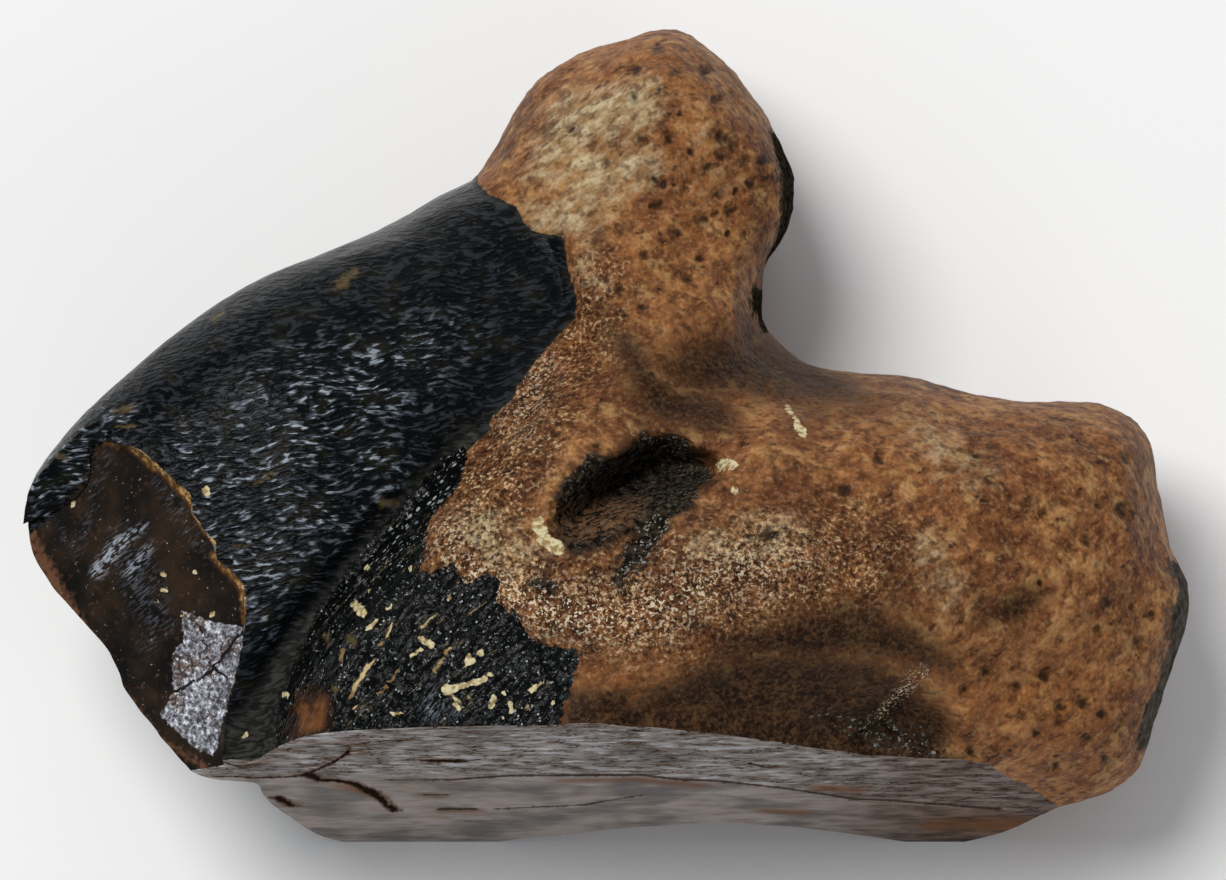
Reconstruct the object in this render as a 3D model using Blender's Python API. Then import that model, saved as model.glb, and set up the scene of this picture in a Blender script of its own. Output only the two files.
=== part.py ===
"""A fossil cheek tooth of a horned dinosaur, lying on its side: one solid, 40 mm long.

The tooth is three lumps grown together: the blade (the enamelled crown with its keel), the body
(the crown's thick side lobe, running on into the long root) and the knob (the stub of the other root).
Each lump is a pillow: an outline drawn in the side view, swelling to a front and a back height.
Grooves, pits and ridges are then carved into the fused lumps. Chewing has ground one side of the tooth
away to a flat facet, and a hollow chip has broken off the keel.

Side view, in millimetres: u runs along the tooth, from the keel's tip to the end of the long root,
v runs from the wear facet to the knob, and w comes out of the side view.
The finished tooth is in metres, with +Z up and its wear facet facing -Y.
"""

from math import cos, pi, radians, sin

import bmesh
import bpy
import numpy as np
from mathutils import Matrix, Vector, noise
from mathutils.geometry import delaunay_2d_cdt

MM = 0.001
LENGTH = 40.4  # along u, from the keel's tip to the end of the long root

# How the tooth lies
LEAN = radians(15)  # between w and straight up: the side view leans back by this much
BED_HEIGHT = 11.9  # the side view's origin above the surface it lies on
FACET_DEPTH = 11.35  # from the side view's origin to the wear facet
LIE_DOWN = Matrix.Scale(MM, 4) @ Matrix.Translation((0, 0, BED_HEIGHT)) @ Matrix.Rotation(LEAN, 4, "X")

# How finely it is made
LOOP_STEP = 0.5  # spacing of points along an outline
GRID_STEP = 0.6  # spacing of points inside it
RIM_RINGS = 7  # rings of points round a pillow's swollen rim
VOXEL = 0.3  # mesh size of the fused lumps
FUSE_PASSES = 4  # smoothing after the lumps are fused
CARVE_PASSES = 1  # smoothing after they are carved
REGROWTH = 0.12  # what the smoothing takes off
CARVED_TRIANGLES = 11600  # before the chip, the facet and the bed are cut
TURNED_AWAY = 0.4  # carving fades where the surface's normal leans further than this from w
SHARP = radians(40)  # edges that stay crisp when the tooth is shaded

# The whole surface is slightly uneven: (height, wavelength) of each wave
WAVES = [(0.22, 4.2), (0.08, 1.7)]

TOOTH_BROWN = (0.19, 0.085, 0.035, 1)

# Outlines: (u, v, rim), where rim is how far in from there the pillow takes to reach its full height.
# Heights: (u, v, w) on the pillow's swollen front and back.
BLADE = {
    "outline": [
        (-20.25, -2.6, 1.6), (-18.8, 0.2, 2.0), (-15.9, 2.9, 2.4), (-13.2, 4.9, 2.4),
        (-10.4, 6.25, 2.4), (-7.7, 7.35, 2.4), (-4.9, 9.0, 2.4), (-2.5, 9.6, 3.0), (0.5, 8.0, 3.0),
        (1.0, 3.0, 3.0), (-2.0, -2.0, 3.0), (-6.0, -8.0, 3.0), (-9.0, -14.5, 2.0),
        (-12.4, -14.5, 1.6), (-13.2, -12.6, 1.4), (-14.4, -11.1, 1.4), (-15.6, -10.0, 1.5),
        (-16.8, -8.6, 1.6), (-17.3, -7.3, 1.6), (-18.7, -5.7, 1.6), (-19.8, -4.6, 1.6),
    ],
    "front": [
        (-17.6, -2.0, 2.0), (-14.2, 1.4, 2.2), (-10.7, 0.7, 3.0), (-10.7, 3.8, 1.5),
        (-7.3, -0.3, 2.9), (-6.6, 4.8, 0.3), (-3.9, 6.2, -1.2), (-1.8, 5.5, -1.2),
        (-12.5, -6.2, 3.3), (-13.5, -9.6, 3.4), (-10.0, -12.0, 3.0),
    ],
    "back": [
        (-17.6, -2.0, -3.0), (-14.2, 1.4, -3.6), (-10.7, 0.7, -4.5), (-7.3, -0.3, -6.5),
        (-5.6, 5.5, -9.5), (-2.5, 5.5, -11.5), (-15.6, -7.0, -1.8), (-13.0, -10.3, -0.6),
        (-11.6, -12.3, -1.7),
    ],
}
BODY = {
    "outline": [
        (-12.3, -10.5, 3.0), (-11.8, -8.0, 3.0), (-10.4, -5.8, 2.8), (-8.6, -3.6, 2.6),
        (-6.6, -1.8, 2.4), (-4.8, -0.2, 2.6), (-2.8, 2.2, 2.8), (-1.2, 4.4, 3.0), (2.0, 5.5, 3.8),
        (5.1, 4.1, 3.8), (6.1, 3.0, 3.4), (7.5, 2.4, 3.0), (10.2, 2.1, 2.6), (11.9, 1.65, 2.4),
        (14.3, 1.35, 2.4), (17.1, 1.0, 2.2), (18.3, 0.15, 1.8), (18.65, -1.7, 1.6), (19.2, -3.6, 1.4),
        (19.95, -5.5, 1.3), (19.5, -7.4, 1.5), (18.85, -9.6, 1.6), (18.1, -11.3, 1.8),
        (16.8, -12.25, 2.6), (15.4, -12.65, 3.2), (14.5, -13.1, 3.2), (14.0, -14.5, 3.0),
        (11.0, -19.0, 3.0), (0.0, -20.0, 4.0), (-8.0, -20.0, 3.0), (-11.2, -17.0, 2.0),
        (-11.8, -13.7, 1.6),
    ],
    "front": [
        (-9.7, -8.9, 6.6), (-6.3, -7.2, 7.1), (-1.8, -8.9, 7.6), (-4.6, -3.4, 6.0),
        (-1.8, 1.4, 3.4), (0.9, 3.8, 0.2), (3.0, -4.1, 7.0), (4.7, -8.9, 7.0), (5.1, 0.7, 3.2),
        (8.8, -8.9, 5.8), (9.9, -4.1, 6.0), (11.6, -0.3, 2.8), (12.2, -10.4, 2.6),
        (15.0, -5.5, 3.8), (15.0, -10.7, 0.9), (18.1, -5.5, 0.6), (0.0, -15.0, 7.6),
    ],
    "back": [
        (-10.4, -13.2, -7.0), (-9.4, -14.0, -8.5), (-6.3, -13.9, -9.3), (-1.0, -13.5, -6.8),
        (3.0, -13.2, -5.5), (7.0, -13.4, -6.3), (11.4, -13.8, -8.8), (13.3, -13.7, -8.5),
        (-1.8, -5.5, -9.0), (6.4, -5.5, -8.5), (13.3, -5.5, -9.5), (17.4, -5.5, -8.5),
        (0.9, 3.8, -11.0), (-1.8, 1.4, -9.5), (0.0, -18.0, -5.5),
    ],
}
KNOB = {
    "outline": [
        (-4.4, 9.2, 3.0), (-4.0, 10.1, 3.4), (-3.5, 11.1, 3.6), (-2.2, 12.8, 3.6), (-0.8, 13.6, 3.4),
        (0.6, 14.1, 3.2), (2.0, 14.35, 3.0), (3.3, 13.6, 2.4), (4.7, 12.1, 1.8), (5.7, 10.4, 1.3),
        (6.25, 8.4, 1.1), (5.9, 7.2, 1.1), (5.2, 6.1, 1.3), (5.1, 4.1, 1.6), (5.6, 1.5, 3.0),
        (3.0, -1.5, 3.0), (-1.5, 0.5, 3.0), (-2.4, 4.5, 3.0), (-3.9, 7.6, 3.0),
    ],
    "front": [
        (1.3, 10.0, -1.4), (-1.8, 10.0, -2.6), (4.4, 10.0, -2.9), (5.4, 8.2, -3.6), (1.3, 12.4, -2.4),
        (0.9, 6.5, -0.6), (1.8, 4.6, 0.3), (4.2, 5.6, -1.6), (4.4, 3.4, 0.2), (1.8, 0.5, 3.4),
    ],
    "back": [
        (1.3, 10.0, -14.7), (1.3, 5.5, -13.5), (-1.5, 8.0, -13.2), (4.0, 8.0, -13.6), (2.0, 0.5, -11.2),
    ],
}

# Carving: each path's dabs are (u, v, radius, depth); a depth below zero heaps the surface up.
FRONT_CARVING = {
    "valley": [
        (-4.9, 0.1, 0.8, 0.3), (-8.0, -3.4, 1.1, 0.5), (-10.8, -6.9, 1.5, 0.7), (-12.4, -10.4, 1.8, 0.7),
    ],
    "pit": [(-1.3, -2.7, 1.0, 1.8), (0.2, -1.7, 1.3, 2.6), (1.8, -1.0, 1.4, 3.2), (3.1, -1.0, 0.9, 2.4)],
    "pit_shadow": [(0.2, -4.4, 0.6, 0.2), (1.3, -3.1, 0.9, 0.7)],
    "saddle": [(1.8, 0.4, 1.6, 0.4), (3.6, 2.0, 2.2, 0.9), (5.6, 2.8, 2.4, 0.8), (8.0, 1.4, 1.6, 0.3)],
    "undercut": [(1.0, -9.6, 1.8, 0.5), (4.4, -9.4, 3.0, 1.3), (7.4, -9.8, 3.4, 2.1), (10.0, -9.9, 2.2, 1.6)],
    "notch": [(8.6, -10.4, 0.8, 0.4), (9.4, -9.2, 0.7, 0.5), (10.6, -7.9, 0.6, 0.3)],
    "tongue": [(-5.6, -3.4, 1.4, -0.4), (-2.9, 0.7, 1.6, -0.6), (-1.2, 3.4, 1.4, -0.3)],
    "pit_lip": [(-1.8, -4.4, 1.6, -0.4), (3.2, -3.4, 1.8, -0.5), (7.8, -4.1, 2.0, -0.5)],
    "root_band": [(5.0, -0.6, 1.2, -0.3), (10.0, -0.9, 1.6, -0.4), (15.5, -2.2, 2.0, -0.3)],
    "crease": [(7.2, -2.0, 0.9, 0.2), (8.1, -3.6, 0.9, 0.3), (8.0, -5.4, 0.9, 0.2)],
    "slot": [(12.6, -6.1, 0.7, 0.2), (13.8, -5.6, 0.8, 0.5), (14.8, -5.0, 0.7, 0.2)],
    "dimple": [(14.7, -2.5, 0.7, 0.3)],
    "lobe": [(12.6, -9.8, 1.6, -0.7), (15.6, -9.8, 2.2, -0.6)],
    "heel": [(12.8, -12.4, 1.8, 1.6), (15.4, -12.8, 1.8, 1.2)],
}
BACK_CARVING = {
    "valley": [
        (-3.6, 1.0, 1.0, 0.5), (-7.6, -4.0, 1.6, 1.0), (-10.8, -9.0, 2.0, 1.3), (-12.0, -12.0, 2.2, 1.2),
    ],
    "pit": [(1.2, -1.2, 1.0, 1.2), (2.8, -0.8, 1.2, 2.0)],
    "saddle": [(4.2, 1.6, 2.2, 0.8), (6.5, 2.2, 2.2, 0.6)],
    "hollow": [(2.6, -9.0, 2.6, 0.9), (6.0, -8.2, 2.2, 0.7)],
}

# Where the root's lumpy crust lies over the enamel, as outlines in the side view
CRUST = 0.25
CRUST_LUMPS = (0.15, 1.2)  # height, wavelength
FRONT_CRUST = [
    (-4.7, 9.2), (-3.3, 8.0), (-2.7, 7.1), (-1.7, 7.0), (-1.3, 4.6), (-2.9, 2.5), (-4.1, 0.8), (-5.1, -0.8),
    (-6.4, -2.9), (-6.6, -4.5), (-5.2, -4.7), (-4.4, -4.8), (-3.5, -6.2), (-2.2, -7.1), (-1.8, -9.7),
    (0.0, -20.0), (24.0, -20.0), (24.0, 20.0), (-6.0, 20.0),
]
BACK_CRUST = [
    (-4.7, 9.2), (-3.0, 7.6), (-2.2, 4.6), (-3.6, 1.6), (-5.2, -0.6), (-5.8, -3.4), (-4.4, -5.6),
    (-3.2, -8.4), (-2.6, -12.0), (0.0, -20.0), (24.0, -20.0), (24.0, 20.0), (-6.0, 20.0),
]

# What broke off the keel: everything above the lower of two floors, inside one outline
CHIP = {
    "outline": [
        (-17.8, -0.1), (-16.9, -0.1), (-16.2, -0.35), (-15.4, -1.1), (-14.5, -1.8), (-14.4, -2.5),
        (-13.7, -3.5), (-13.5, -4.1), (-12.9, -4.5), (-12.6, -5.4), (-12.7, -7.2), (-13.0, -8.4),
        (-13.4, -9.8), (-13.5, -12.5), (-16.0, -13.5), (-20.0, -9.0), (-22.5, -4.0), (-20.3, -2.9),
        (-18.6, -2.1), (-18.0, -1.4),
    ],
    "floors": [
        [
            (-17.8, -0.1, 1.2), (-16.2, -0.3, 1.8), (-14.5, -1.8, 2.4), (-13.6, -3.5, 2.7),
            (-12.6, -5.0, 3.0), (-12.7, -7.0, 3.1), (-16.9, -1.6, 1.5), (-18.3, -1.8, 1.5),
            (-17.8, -3.4, 1.3), (-16.6, -3.6, 1.5), (-15.4, -4.6, 1.4), (-16.4, -6.0, 0.8),
            (-14.4, -5.2, 1.9), (-19.2, -1.9, 1.4), (-20.2, -2.9, 0.6), (-19.5, -4.5, 0.6),
            (-18.0, -6.3, 0.4), (-17.2, -7.8, 0.3), (-15.8, -9.8, 0.8), (-14.0, -11.2, 1.8),
        ],
        [(-12.7, -6.4, 3.0), (-13.6, -11.0, 2.3), (-15.3, -9.6, 1.1), (-14.9, -6.1, 1.8)],
    ],
}


def smooth_loop(points, step):
    """A closed curve through the points, as points a step apart; extra columns ride along."""
    curve = bpy.data.curves.new("outline", "CURVE")
    spline = curve.splines.new("BEZIER")
    spline.bezier_points.add(len(points) - 1)
    spline.use_cyclic_u = True
    spline.resolution_u = 12
    for knot, point in zip(spline.bezier_points, points):
        knot.co = point
        knot.handle_left_type = knot.handle_right_type = "AUTO"
    drawn = bpy.data.objects.new("outline", curve)
    dense = np.array([vertex.co[:] for vertex in drawn.to_mesh().vertices])
    bpy.data.objects.remove(drawn)
    closed = np.vstack([dense, dense[:1]])
    steps = np.linalg.norm(np.diff(closed[:, :2], axis=0), axis=1)
    along = np.concatenate([[0], np.cumsum(steps)])
    places = np.linspace(0, along[-1], round(along[-1] / step), endpoint=False)
    return np.column_stack([np.interp(places, along, column) for column in closed.T])


def nearest(points, loop):
    """Each point's distance to the loop, and the loop's further columns at the nearest place."""
    start, end = loop, np.roll(loop, -1, axis=0)
    run = (end - start)[None, :, :2]
    offset = points[:, None, :2] - start[None, :, :2]
    share = np.clip((offset * run).sum(2) / (run * run).sum(2), 0, 1)
    gaps = np.linalg.norm(offset - share[..., None] * run, axis=2)
    best = gaps.argmin(1)
    row = np.arange(len(points))
    blend = share[row, best][:, None]
    return gaps[row, best], start[best, 2:] * (1 - blend) + end[best, 2:] * blend


def inside(points, loop):
    """Which points lie inside the loop, by counting crossings."""
    u, v = points[:, :1], points[:, 1:2]
    (u0, v0), (u1, v1) = loop[:, :2].T, np.roll(loop, -1, axis=0)[:, :2].T
    spans = (v0 > v) != (v1 > v)
    rise = np.where(v1 == v0, 1, v1 - v0)
    return (spans & (u < u0 + (v - v0) * (u1 - u0) / rise)).sum(1) % 2 == 1


def bent_plate(landmarks):
    """A function of (u, v) points: the height of a thin plate bent through the landmarks."""
    marks = np.array(landmarks)
    places, heights = marks[:, :2], marks[:, 2]

    def bend(points):
        gap = np.linalg.norm(points[:, None] - places[None], axis=2)
        return gap**2 * np.log(gap + 1e-9)

    def flat(points):
        return np.column_stack([np.ones(len(points)), points])

    count = len(marks)
    system = np.zeros((count + 3, count + 3))
    system[:count, :count] = bend(places)
    system[:count, count:] = flat(places)
    system[count:, :count] = flat(places).T
    weights = np.linalg.solve(system, np.concatenate([heights, np.zeros(3)]))
    return lambda points: bend(points) @ weights[:count] + flat(points) @ weights[count:]


def rim_rings(loop):
    """Points inside the loop on rings that lie closer together towards it, where the pillow is steepest."""
    tangent = (np.roll(loop, -1, axis=0) - np.roll(loop, 1, axis=0))[:, :2]
    inward = np.column_stack([-tangent[:, 1], tangent[:, 0]])
    inward /= np.linalg.norm(inward, axis=1, keepdims=True)
    if not inside(loop[:1, :2] + 0.05 * inward[:1], loop)[0]:
        inward = -inward
    kept = []
    for ring in range(1, RIM_RINGS):
        depth = loop[:, 2] * (1 - cos(ring / RIM_RINGS * pi / 2))
        moved = loop[:, :2] + depth[:, None] * inward
        clear = nearest(moved, loop)[0] > 0.9 * depth
        kept.append(moved[clear & inside(moved, loop)])
    return np.vstack(kept)


def grid_inside(loop):
    """Evenly spread points inside the loop, past its rim."""
    low, high = loop[:, :2].min(0), loop[:, :2].max(0)
    columns = np.arange(low[0], high[0], GRID_STEP)
    rows = np.arange(low[1], high[1], GRID_STEP * sin(pi / 3))
    grid = np.array([(u + 0.5 * GRID_STEP * (n % 2), v) for n, v in enumerate(rows) for u in columns])
    grid = grid[inside(grid, loop)]
    gap, rim = nearest(grid, loop)
    return grid[gap > rim[:, 0]]


def net(loop, *more_points):
    """Points and triangles that fill the loop; the loop's own points come first."""
    flat = np.vstack([loop[:, :2], *more_points])
    edges = [(n, (n + 1) % len(loop)) for n in range(len(loop))]
    placed, _, faces, *_ = delaunay_2d_cdt([Vector(p) for p in flat], edges, [], 1, 1e-6)
    return np.array([p[:] for p in placed]), faces


def pillow(name, lump):
    """A closed mesh that swells from the lump's outline to its front and back heights."""
    loop = smooth_loop(lump["outline"], LOOP_STEP)
    places, faces = net(loop, rim_rings(loop), grid_inside(loop))
    gap, rim = nearest(places, loop)
    swell = np.sqrt(1 - (1 - np.clip(gap / rim[:, 0], 0, 1)) ** 2)
    front, back = (bent_plate(lump[side])(places) for side in ("front", "back"))
    middle = (front + back) / 2

    form = bmesh.new()
    sheets = []
    for height in (front, back):
        w = middle + swell * (height - middle)
        sheets.append([form.verts.new((*place, z)) for place, z in zip(places, w)])
    for n in np.flatnonzero(gap < 1e-4):
        form.verts.remove(sheets[1][n])
        sheets[1][n] = sheets[0][n]
    for corners in faces:
        form.faces.new([sheets[0][n] for n in corners])
        form.faces.new([sheets[1][n] for n in reversed(corners)])
    bmesh.ops.recalc_face_normals(form, faces=form.faces)
    mesh = bpy.data.meshes.new(name)
    form.to_mesh(mesh)
    form.free()
    return mesh


def apply_modifiers(obj):
    """Keeps what the modifiers make as the object's own mesh."""
    graph = bpy.context.evaluated_depsgraph_get()
    made = bpy.data.meshes.new_from_object(obj.evaluated_get(graph))
    obj.modifiers.clear()
    obj.data = made


def soften(tooth, passes):
    smooth = tooth.modifiers.new("soften", "SMOOTH")
    smooth.factor = 0.5
    smooth.iterations = passes
    apply_modifiers(tooth)


def fused(lumps):
    """One object from several overlapping meshes, with the creases between them softened."""
    joined = bmesh.new()
    for mesh in lumps:
        joined.from_mesh(mesh)
    mesh = bpy.data.meshes.new("tooth")
    joined.to_mesh(mesh)
    joined.free()
    tooth = bpy.data.objects.new("tooth", mesh)
    bpy.context.collection.objects.link(tooth)
    remesh = tooth.modifiers.new("fuse", "REMESH")
    remesh.mode = "VOXEL"
    remesh.voxel_size = VOXEL
    remesh.use_smooth_shade = True
    apply_modifiers(tooth)
    soften(tooth, FUSE_PASSES)
    return tooth


def places_of(mesh):
    """The mesh's vertices as rows of three coordinates."""
    values = np.zeros(3 * len(mesh.vertices))
    mesh.vertices.foreach_get("co", values)
    return values.reshape(-1, 3)


def normals_of(mesh):
    """The mesh's vertex normals as rows of three numbers."""
    values = np.zeros(3 * len(mesh.vertices))
    mesh.vertex_normals.foreach_get("vector", values)
    return values.reshape(-1, 3)


def move_to(mesh, places):
    mesh.vertices.foreach_set("co", places.ravel())
    mesh.update()


def ripple(places, height, wavelength):
    """A smooth random height at each place."""
    return height * np.array([noise.noise(Vector(place) / wavelength) for place in places])


def brush(places, path):
    """How deep a path of dabs carves at each place: full depth on the path, nothing past the radius."""
    deepest = np.zeros(len(places))
    dabs = np.array(path if len(path) > 1 else path * 2, dtype=float)
    for start, end in zip(dabs[:-1], dabs[1:]):
        run = end[:2] - start[:2]
        offset = places[:, :2] - start[:2]
        share = np.clip(offset @ run / max(run @ run, 1e-9), 0, 1)[:, None]
        radius, depth = (start[2:] * (1 - share) + end[2:] * share).T
        gap = np.linalg.norm(offset - share * run, axis=1)
        carved = depth * np.clip(1 - (gap / radius) ** 2, 0, 1) ** 2
        deepest = np.where(np.abs(carved) > np.abs(deepest), carved, deepest)
    return deepest


def carve(tooth, carving, crust, side):
    """Works the paths and the root's crust into the front (side 1) or the back (side -1)."""
    places = places_of(tooth.data)
    facing = np.clip(side * normals_of(tooth.data)[:, 2] / TURNED_AWAY, 0, 1)
    loop = smooth_loop([(u, v, 0) for u, v in crust], LOOP_STEP)
    depth_within = np.where(inside(places, loop), 1, -1) * nearest(places, loop)[0]
    ledge = np.clip(0.5 + depth_within / (2 * VOXEL), 0, 1)
    lift = ledge * (CRUST + ripple(places, *CRUST_LUMPS))
    for path in carving.values():
        lift -= brush(places, path)
    places[:, 2] += side * facing * lift
    move_to(tooth.data, places)


def unsettle(tooth):
    """Pushes the surface in and out by the slow waves, and out by what smoothing took off."""
    places = places_of(tooth.data)
    push = REGROWTH + sum(ripple(places, *wave) for wave in WAVES)
    move_to(tooth.data, places + push[:, None] * normals_of(tooth.data))


def thin_out(tooth):
    """Fewer, larger triangles, where the surface allows them."""
    tooth.data.calc_loop_triangles()
    decimate = tooth.modifiers.new("thin_out", "DECIMATE")
    decimate.ratio = CARVED_TRIANGLES / len(tooth.data.loop_triangles)
    apply_modifiers(tooth)


def cut(tooth, cutter):
    """Takes the cutter's shape out of the tooth."""
    boolean = tooth.modifiers.new(cutter.name, "BOOLEAN")
    boolean.operation = "DIFFERENCE"
    boolean.object = cutter
    apply_modifiers(tooth)
    bpy.data.objects.remove(cutter)


def linked(name, form):
    """A new object in the scene from a bmesh, which is used up."""
    mesh = bpy.data.meshes.new(name)
    form.to_mesh(mesh)
    form.free()
    made = bpy.data.objects.new(name, mesh)
    bpy.context.collection.objects.link(made)
    return made


def chip():
    """A block whose underside is the broken surface: the lower of the chip's two floors."""
    loop = smooth_loop([(u, v, LOOP_STEP / 2) for u, v in CHIP["outline"]], LOOP_STEP)
    places, faces = net(loop, grid_inside(loop))
    floor = np.min([bent_plate(marks)(places) for marks in CHIP["floors"]], axis=0)
    block = bmesh.new()
    low = [block.verts.new((*place, w)) for place, w in zip(places, floor)]
    high = [block.verts.new((*place, LENGTH / 2)) for place in places]
    for corners in faces:
        block.faces.new([low[n] for n in reversed(corners)])
        block.faces.new([high[n] for n in corners])
    for n in range(len(loop)):
        after = (n + 1) % len(loop)
        block.faces.new([low[n], low[after], high[after], high[n]])
    bmesh.ops.recalc_face_normals(block, faces=block.faces)
    block.transform(LIE_DOWN)
    return linked("chip", block)


def slab(name, middle):
    """A cube of twice the tooth's length, which leaves a flat face."""
    box = bmesh.new()
    bmesh.ops.create_cube(box, size=2 * LENGTH * MM)
    box.transform(Matrix.Translation([MM * place for place in middle]))
    return linked(name, box)


def centre(tooth):
    """Puts the origin under the middle of the tooth."""
    corners = [Vector(corner) for corner in tooth.bound_box]
    middle = (corners[0] + corners[6]) / 2
    tooth.data.transform(Matrix.Translation((-middle.x, -middle.y, 0)))
    print("side view's origin, mm:", [round(-c / MM, 3) for c in (middle.x, middle.y)], BED_HEIGHT)


def fossil_stone():
    stone = bpy.data.materials.new("fossil_stone")
    stone.use_nodes = True
    shader = stone.node_tree.nodes["Principled BSDF"]
    shader.inputs["Base Color"].default_value = TOOTH_BROWN
    shader.inputs["Roughness"].default_value = 0.45
    shader.inputs["Metallic"].default_value = 0.0
    return stone


def build_tooth():
    tooth = fused([pillow("blade", BLADE), pillow("body", BODY), pillow("knob", KNOB)])
    carve(tooth, FRONT_CARVING, FRONT_CRUST, 1)
    carve(tooth, BACK_CARVING, BACK_CRUST, -1)
    soften(tooth, CARVE_PASSES)
    unsettle(tooth)
    thin_out(tooth)
    tooth.data.transform(LIE_DOWN)
    cut(tooth, chip())
    cut(tooth, slab("chewing", (0, -FACET_DEPTH - LENGTH, 0)))
    cut(tooth, slab("bed", (0, 0, -LENGTH)))
    tooth.data.shade_smooth()
    tooth.data.set_sharp_from_angle(angle=SHARP)
    centre(tooth)
    tooth.data.materials.append(fossil_stone())
    return tooth


for old in list(bpy.data.objects):
    bpy.data.objects.remove(old)
build_tooth()
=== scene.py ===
# %% [markdown]
# # The finish of a fossil tooth
#
# This is the cheek tooth of a horned dinosaur, turned to stone and shed with its crown worn flat. It is one
# natural piece, so one mesh carries everything: black wrinkled enamel, brown bone-like root, the glassy
# chip on the keel, and the facet that chewing ground. What tells them apart is relief and material, so this
# script has two halves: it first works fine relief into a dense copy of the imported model's surface, and
# then describes one material whose finishes follow the same outlines as the relief.

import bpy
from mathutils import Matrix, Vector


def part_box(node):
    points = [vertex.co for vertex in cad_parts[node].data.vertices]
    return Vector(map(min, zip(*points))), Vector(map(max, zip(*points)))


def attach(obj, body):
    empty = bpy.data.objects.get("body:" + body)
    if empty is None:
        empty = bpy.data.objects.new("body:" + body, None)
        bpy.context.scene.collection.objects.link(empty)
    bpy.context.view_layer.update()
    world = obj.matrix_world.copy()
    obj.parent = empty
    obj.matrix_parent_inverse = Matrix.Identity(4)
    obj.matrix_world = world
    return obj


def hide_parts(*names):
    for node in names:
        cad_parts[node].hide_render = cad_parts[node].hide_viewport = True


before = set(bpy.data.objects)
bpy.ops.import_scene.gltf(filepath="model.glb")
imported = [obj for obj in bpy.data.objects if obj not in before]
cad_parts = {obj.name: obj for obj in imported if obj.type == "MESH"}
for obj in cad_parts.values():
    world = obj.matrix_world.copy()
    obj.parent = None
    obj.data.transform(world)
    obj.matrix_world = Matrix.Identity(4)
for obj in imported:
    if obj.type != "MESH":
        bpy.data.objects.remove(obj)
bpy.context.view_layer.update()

# %% Tools
from math import radians

import bmesh
import bpy
import numpy as np
from mathutils import Matrix, Vector, noise

# %% [markdown]
# ## The side view
#
# A tooth is described in its side view, so every outline below is drawn there, in millimetres: u runs from
# the keel's tip to the end of the long root, v from the wear facet to the knob, and w comes out of the
# view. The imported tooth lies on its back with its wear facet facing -Y, and the side view leans back by 15
# degrees. One function turns places of the model into side view places.

# %% The side view
MM = 0.001
LEAN = radians(15)
FACET_DEPTH = 11.35  # from the side view's origin to the wear facet
BED_HEIGHT = 11.9  # the side view's origin above the floor
KEEL_REACH = 20.32  # from the side view's origin to the keel's tip

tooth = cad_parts["tooth"]
LOW, HIGH = (np.array(corner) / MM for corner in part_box("tooth"))
ORIGIN = np.array([LOW[0] + KEEL_REACH, LOW[1] + FACET_DEPTH, BED_HEIGHT])
UPRIGHT = np.array(Matrix.Rotation(LEAN, 3, "X"))


def side_view(places):
    """Side view u, v, w in millimetres of rows of places in the model, also in millimetres."""
    return (places - ORIGIN) @ UPRIGHT


print("side view origin, mm:", ORIGIN.round(3))

# %% [markdown]
# ## Outlines
#
# Each zone of the surface is an outline in the side view. A vertex then carries its distance to the
# outline, more than 0 inside it. A distance is a smooth number, so it stays exact between two vertices, and
# a material that cuts it at 0 gets an edge far crisper than the mesh. Painting the zones per vertex would
# blur them, and an image would not follow the shape when the tooth is seen from another side.
#
# The root's cement laps over the enamel with a ragged edge, which is drawn here on both faces of the tooth.

# %% Outlines of the root
FRONT_ROOT = [
    (-4.7, 8.9), (-4.3, 8.5), (-3.8, 8.3), (-3.35, 8.05), (-3.05, 7.45), (-2.7, 7.15), (-1.75, 7.0),
    (-1.5, 5.75), (-1.25, 4.85), (-1.3, 4.2), (-1.9, 3.55), (-2.4, 3.0), (-2.85, 2.45), (-3.3, 1.75),
    (-3.45, 1.35), (-4.2, 0.75), (-4.25, 0.3), (-4.95, -0.35), (-5.0, -0.8), (-5.25, -1.55), (-5.75, -2.2),
    (-6.2, -2.65), (-6.3, -3.05), (-6.4, -3.7), (-6.55, -4.45), (-6.25, -4.5), (-5.85, -4.4), (-5.4, -4.25),
    (-5.2, -4.7), (-4.95, -4.9), (-4.35, -4.5), (-3.8, -4.75), (-3.95, -5.5), (-3.65, -5.7), (-3.2, -5.85),
    (-3.0, -6.4), (-2.65, -6.75), (-2.15, -7.0), (-1.3, -7.05), (-1.1, -7.3), (-1.45, -8.45), (-1.8, -9.55),
    (-1.5, -20.0), (24.0, -20.0), (24.0, 20.0), (-6.0, 20.0),
]
BACK_ROOT = [
    (-4.7, 9.2), (-3.0, 7.6), (-2.2, 4.6), (-3.6, 1.6), (-5.2, -0.6), (-5.8, -3.4), (-4.4, -5.6),
    (-3.2, -8.4), (-2.6, -12.0), (0.0, -20.0), (24.0, -20.0), (24.0, 20.0), (-6.0, 20.0),
]

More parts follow.
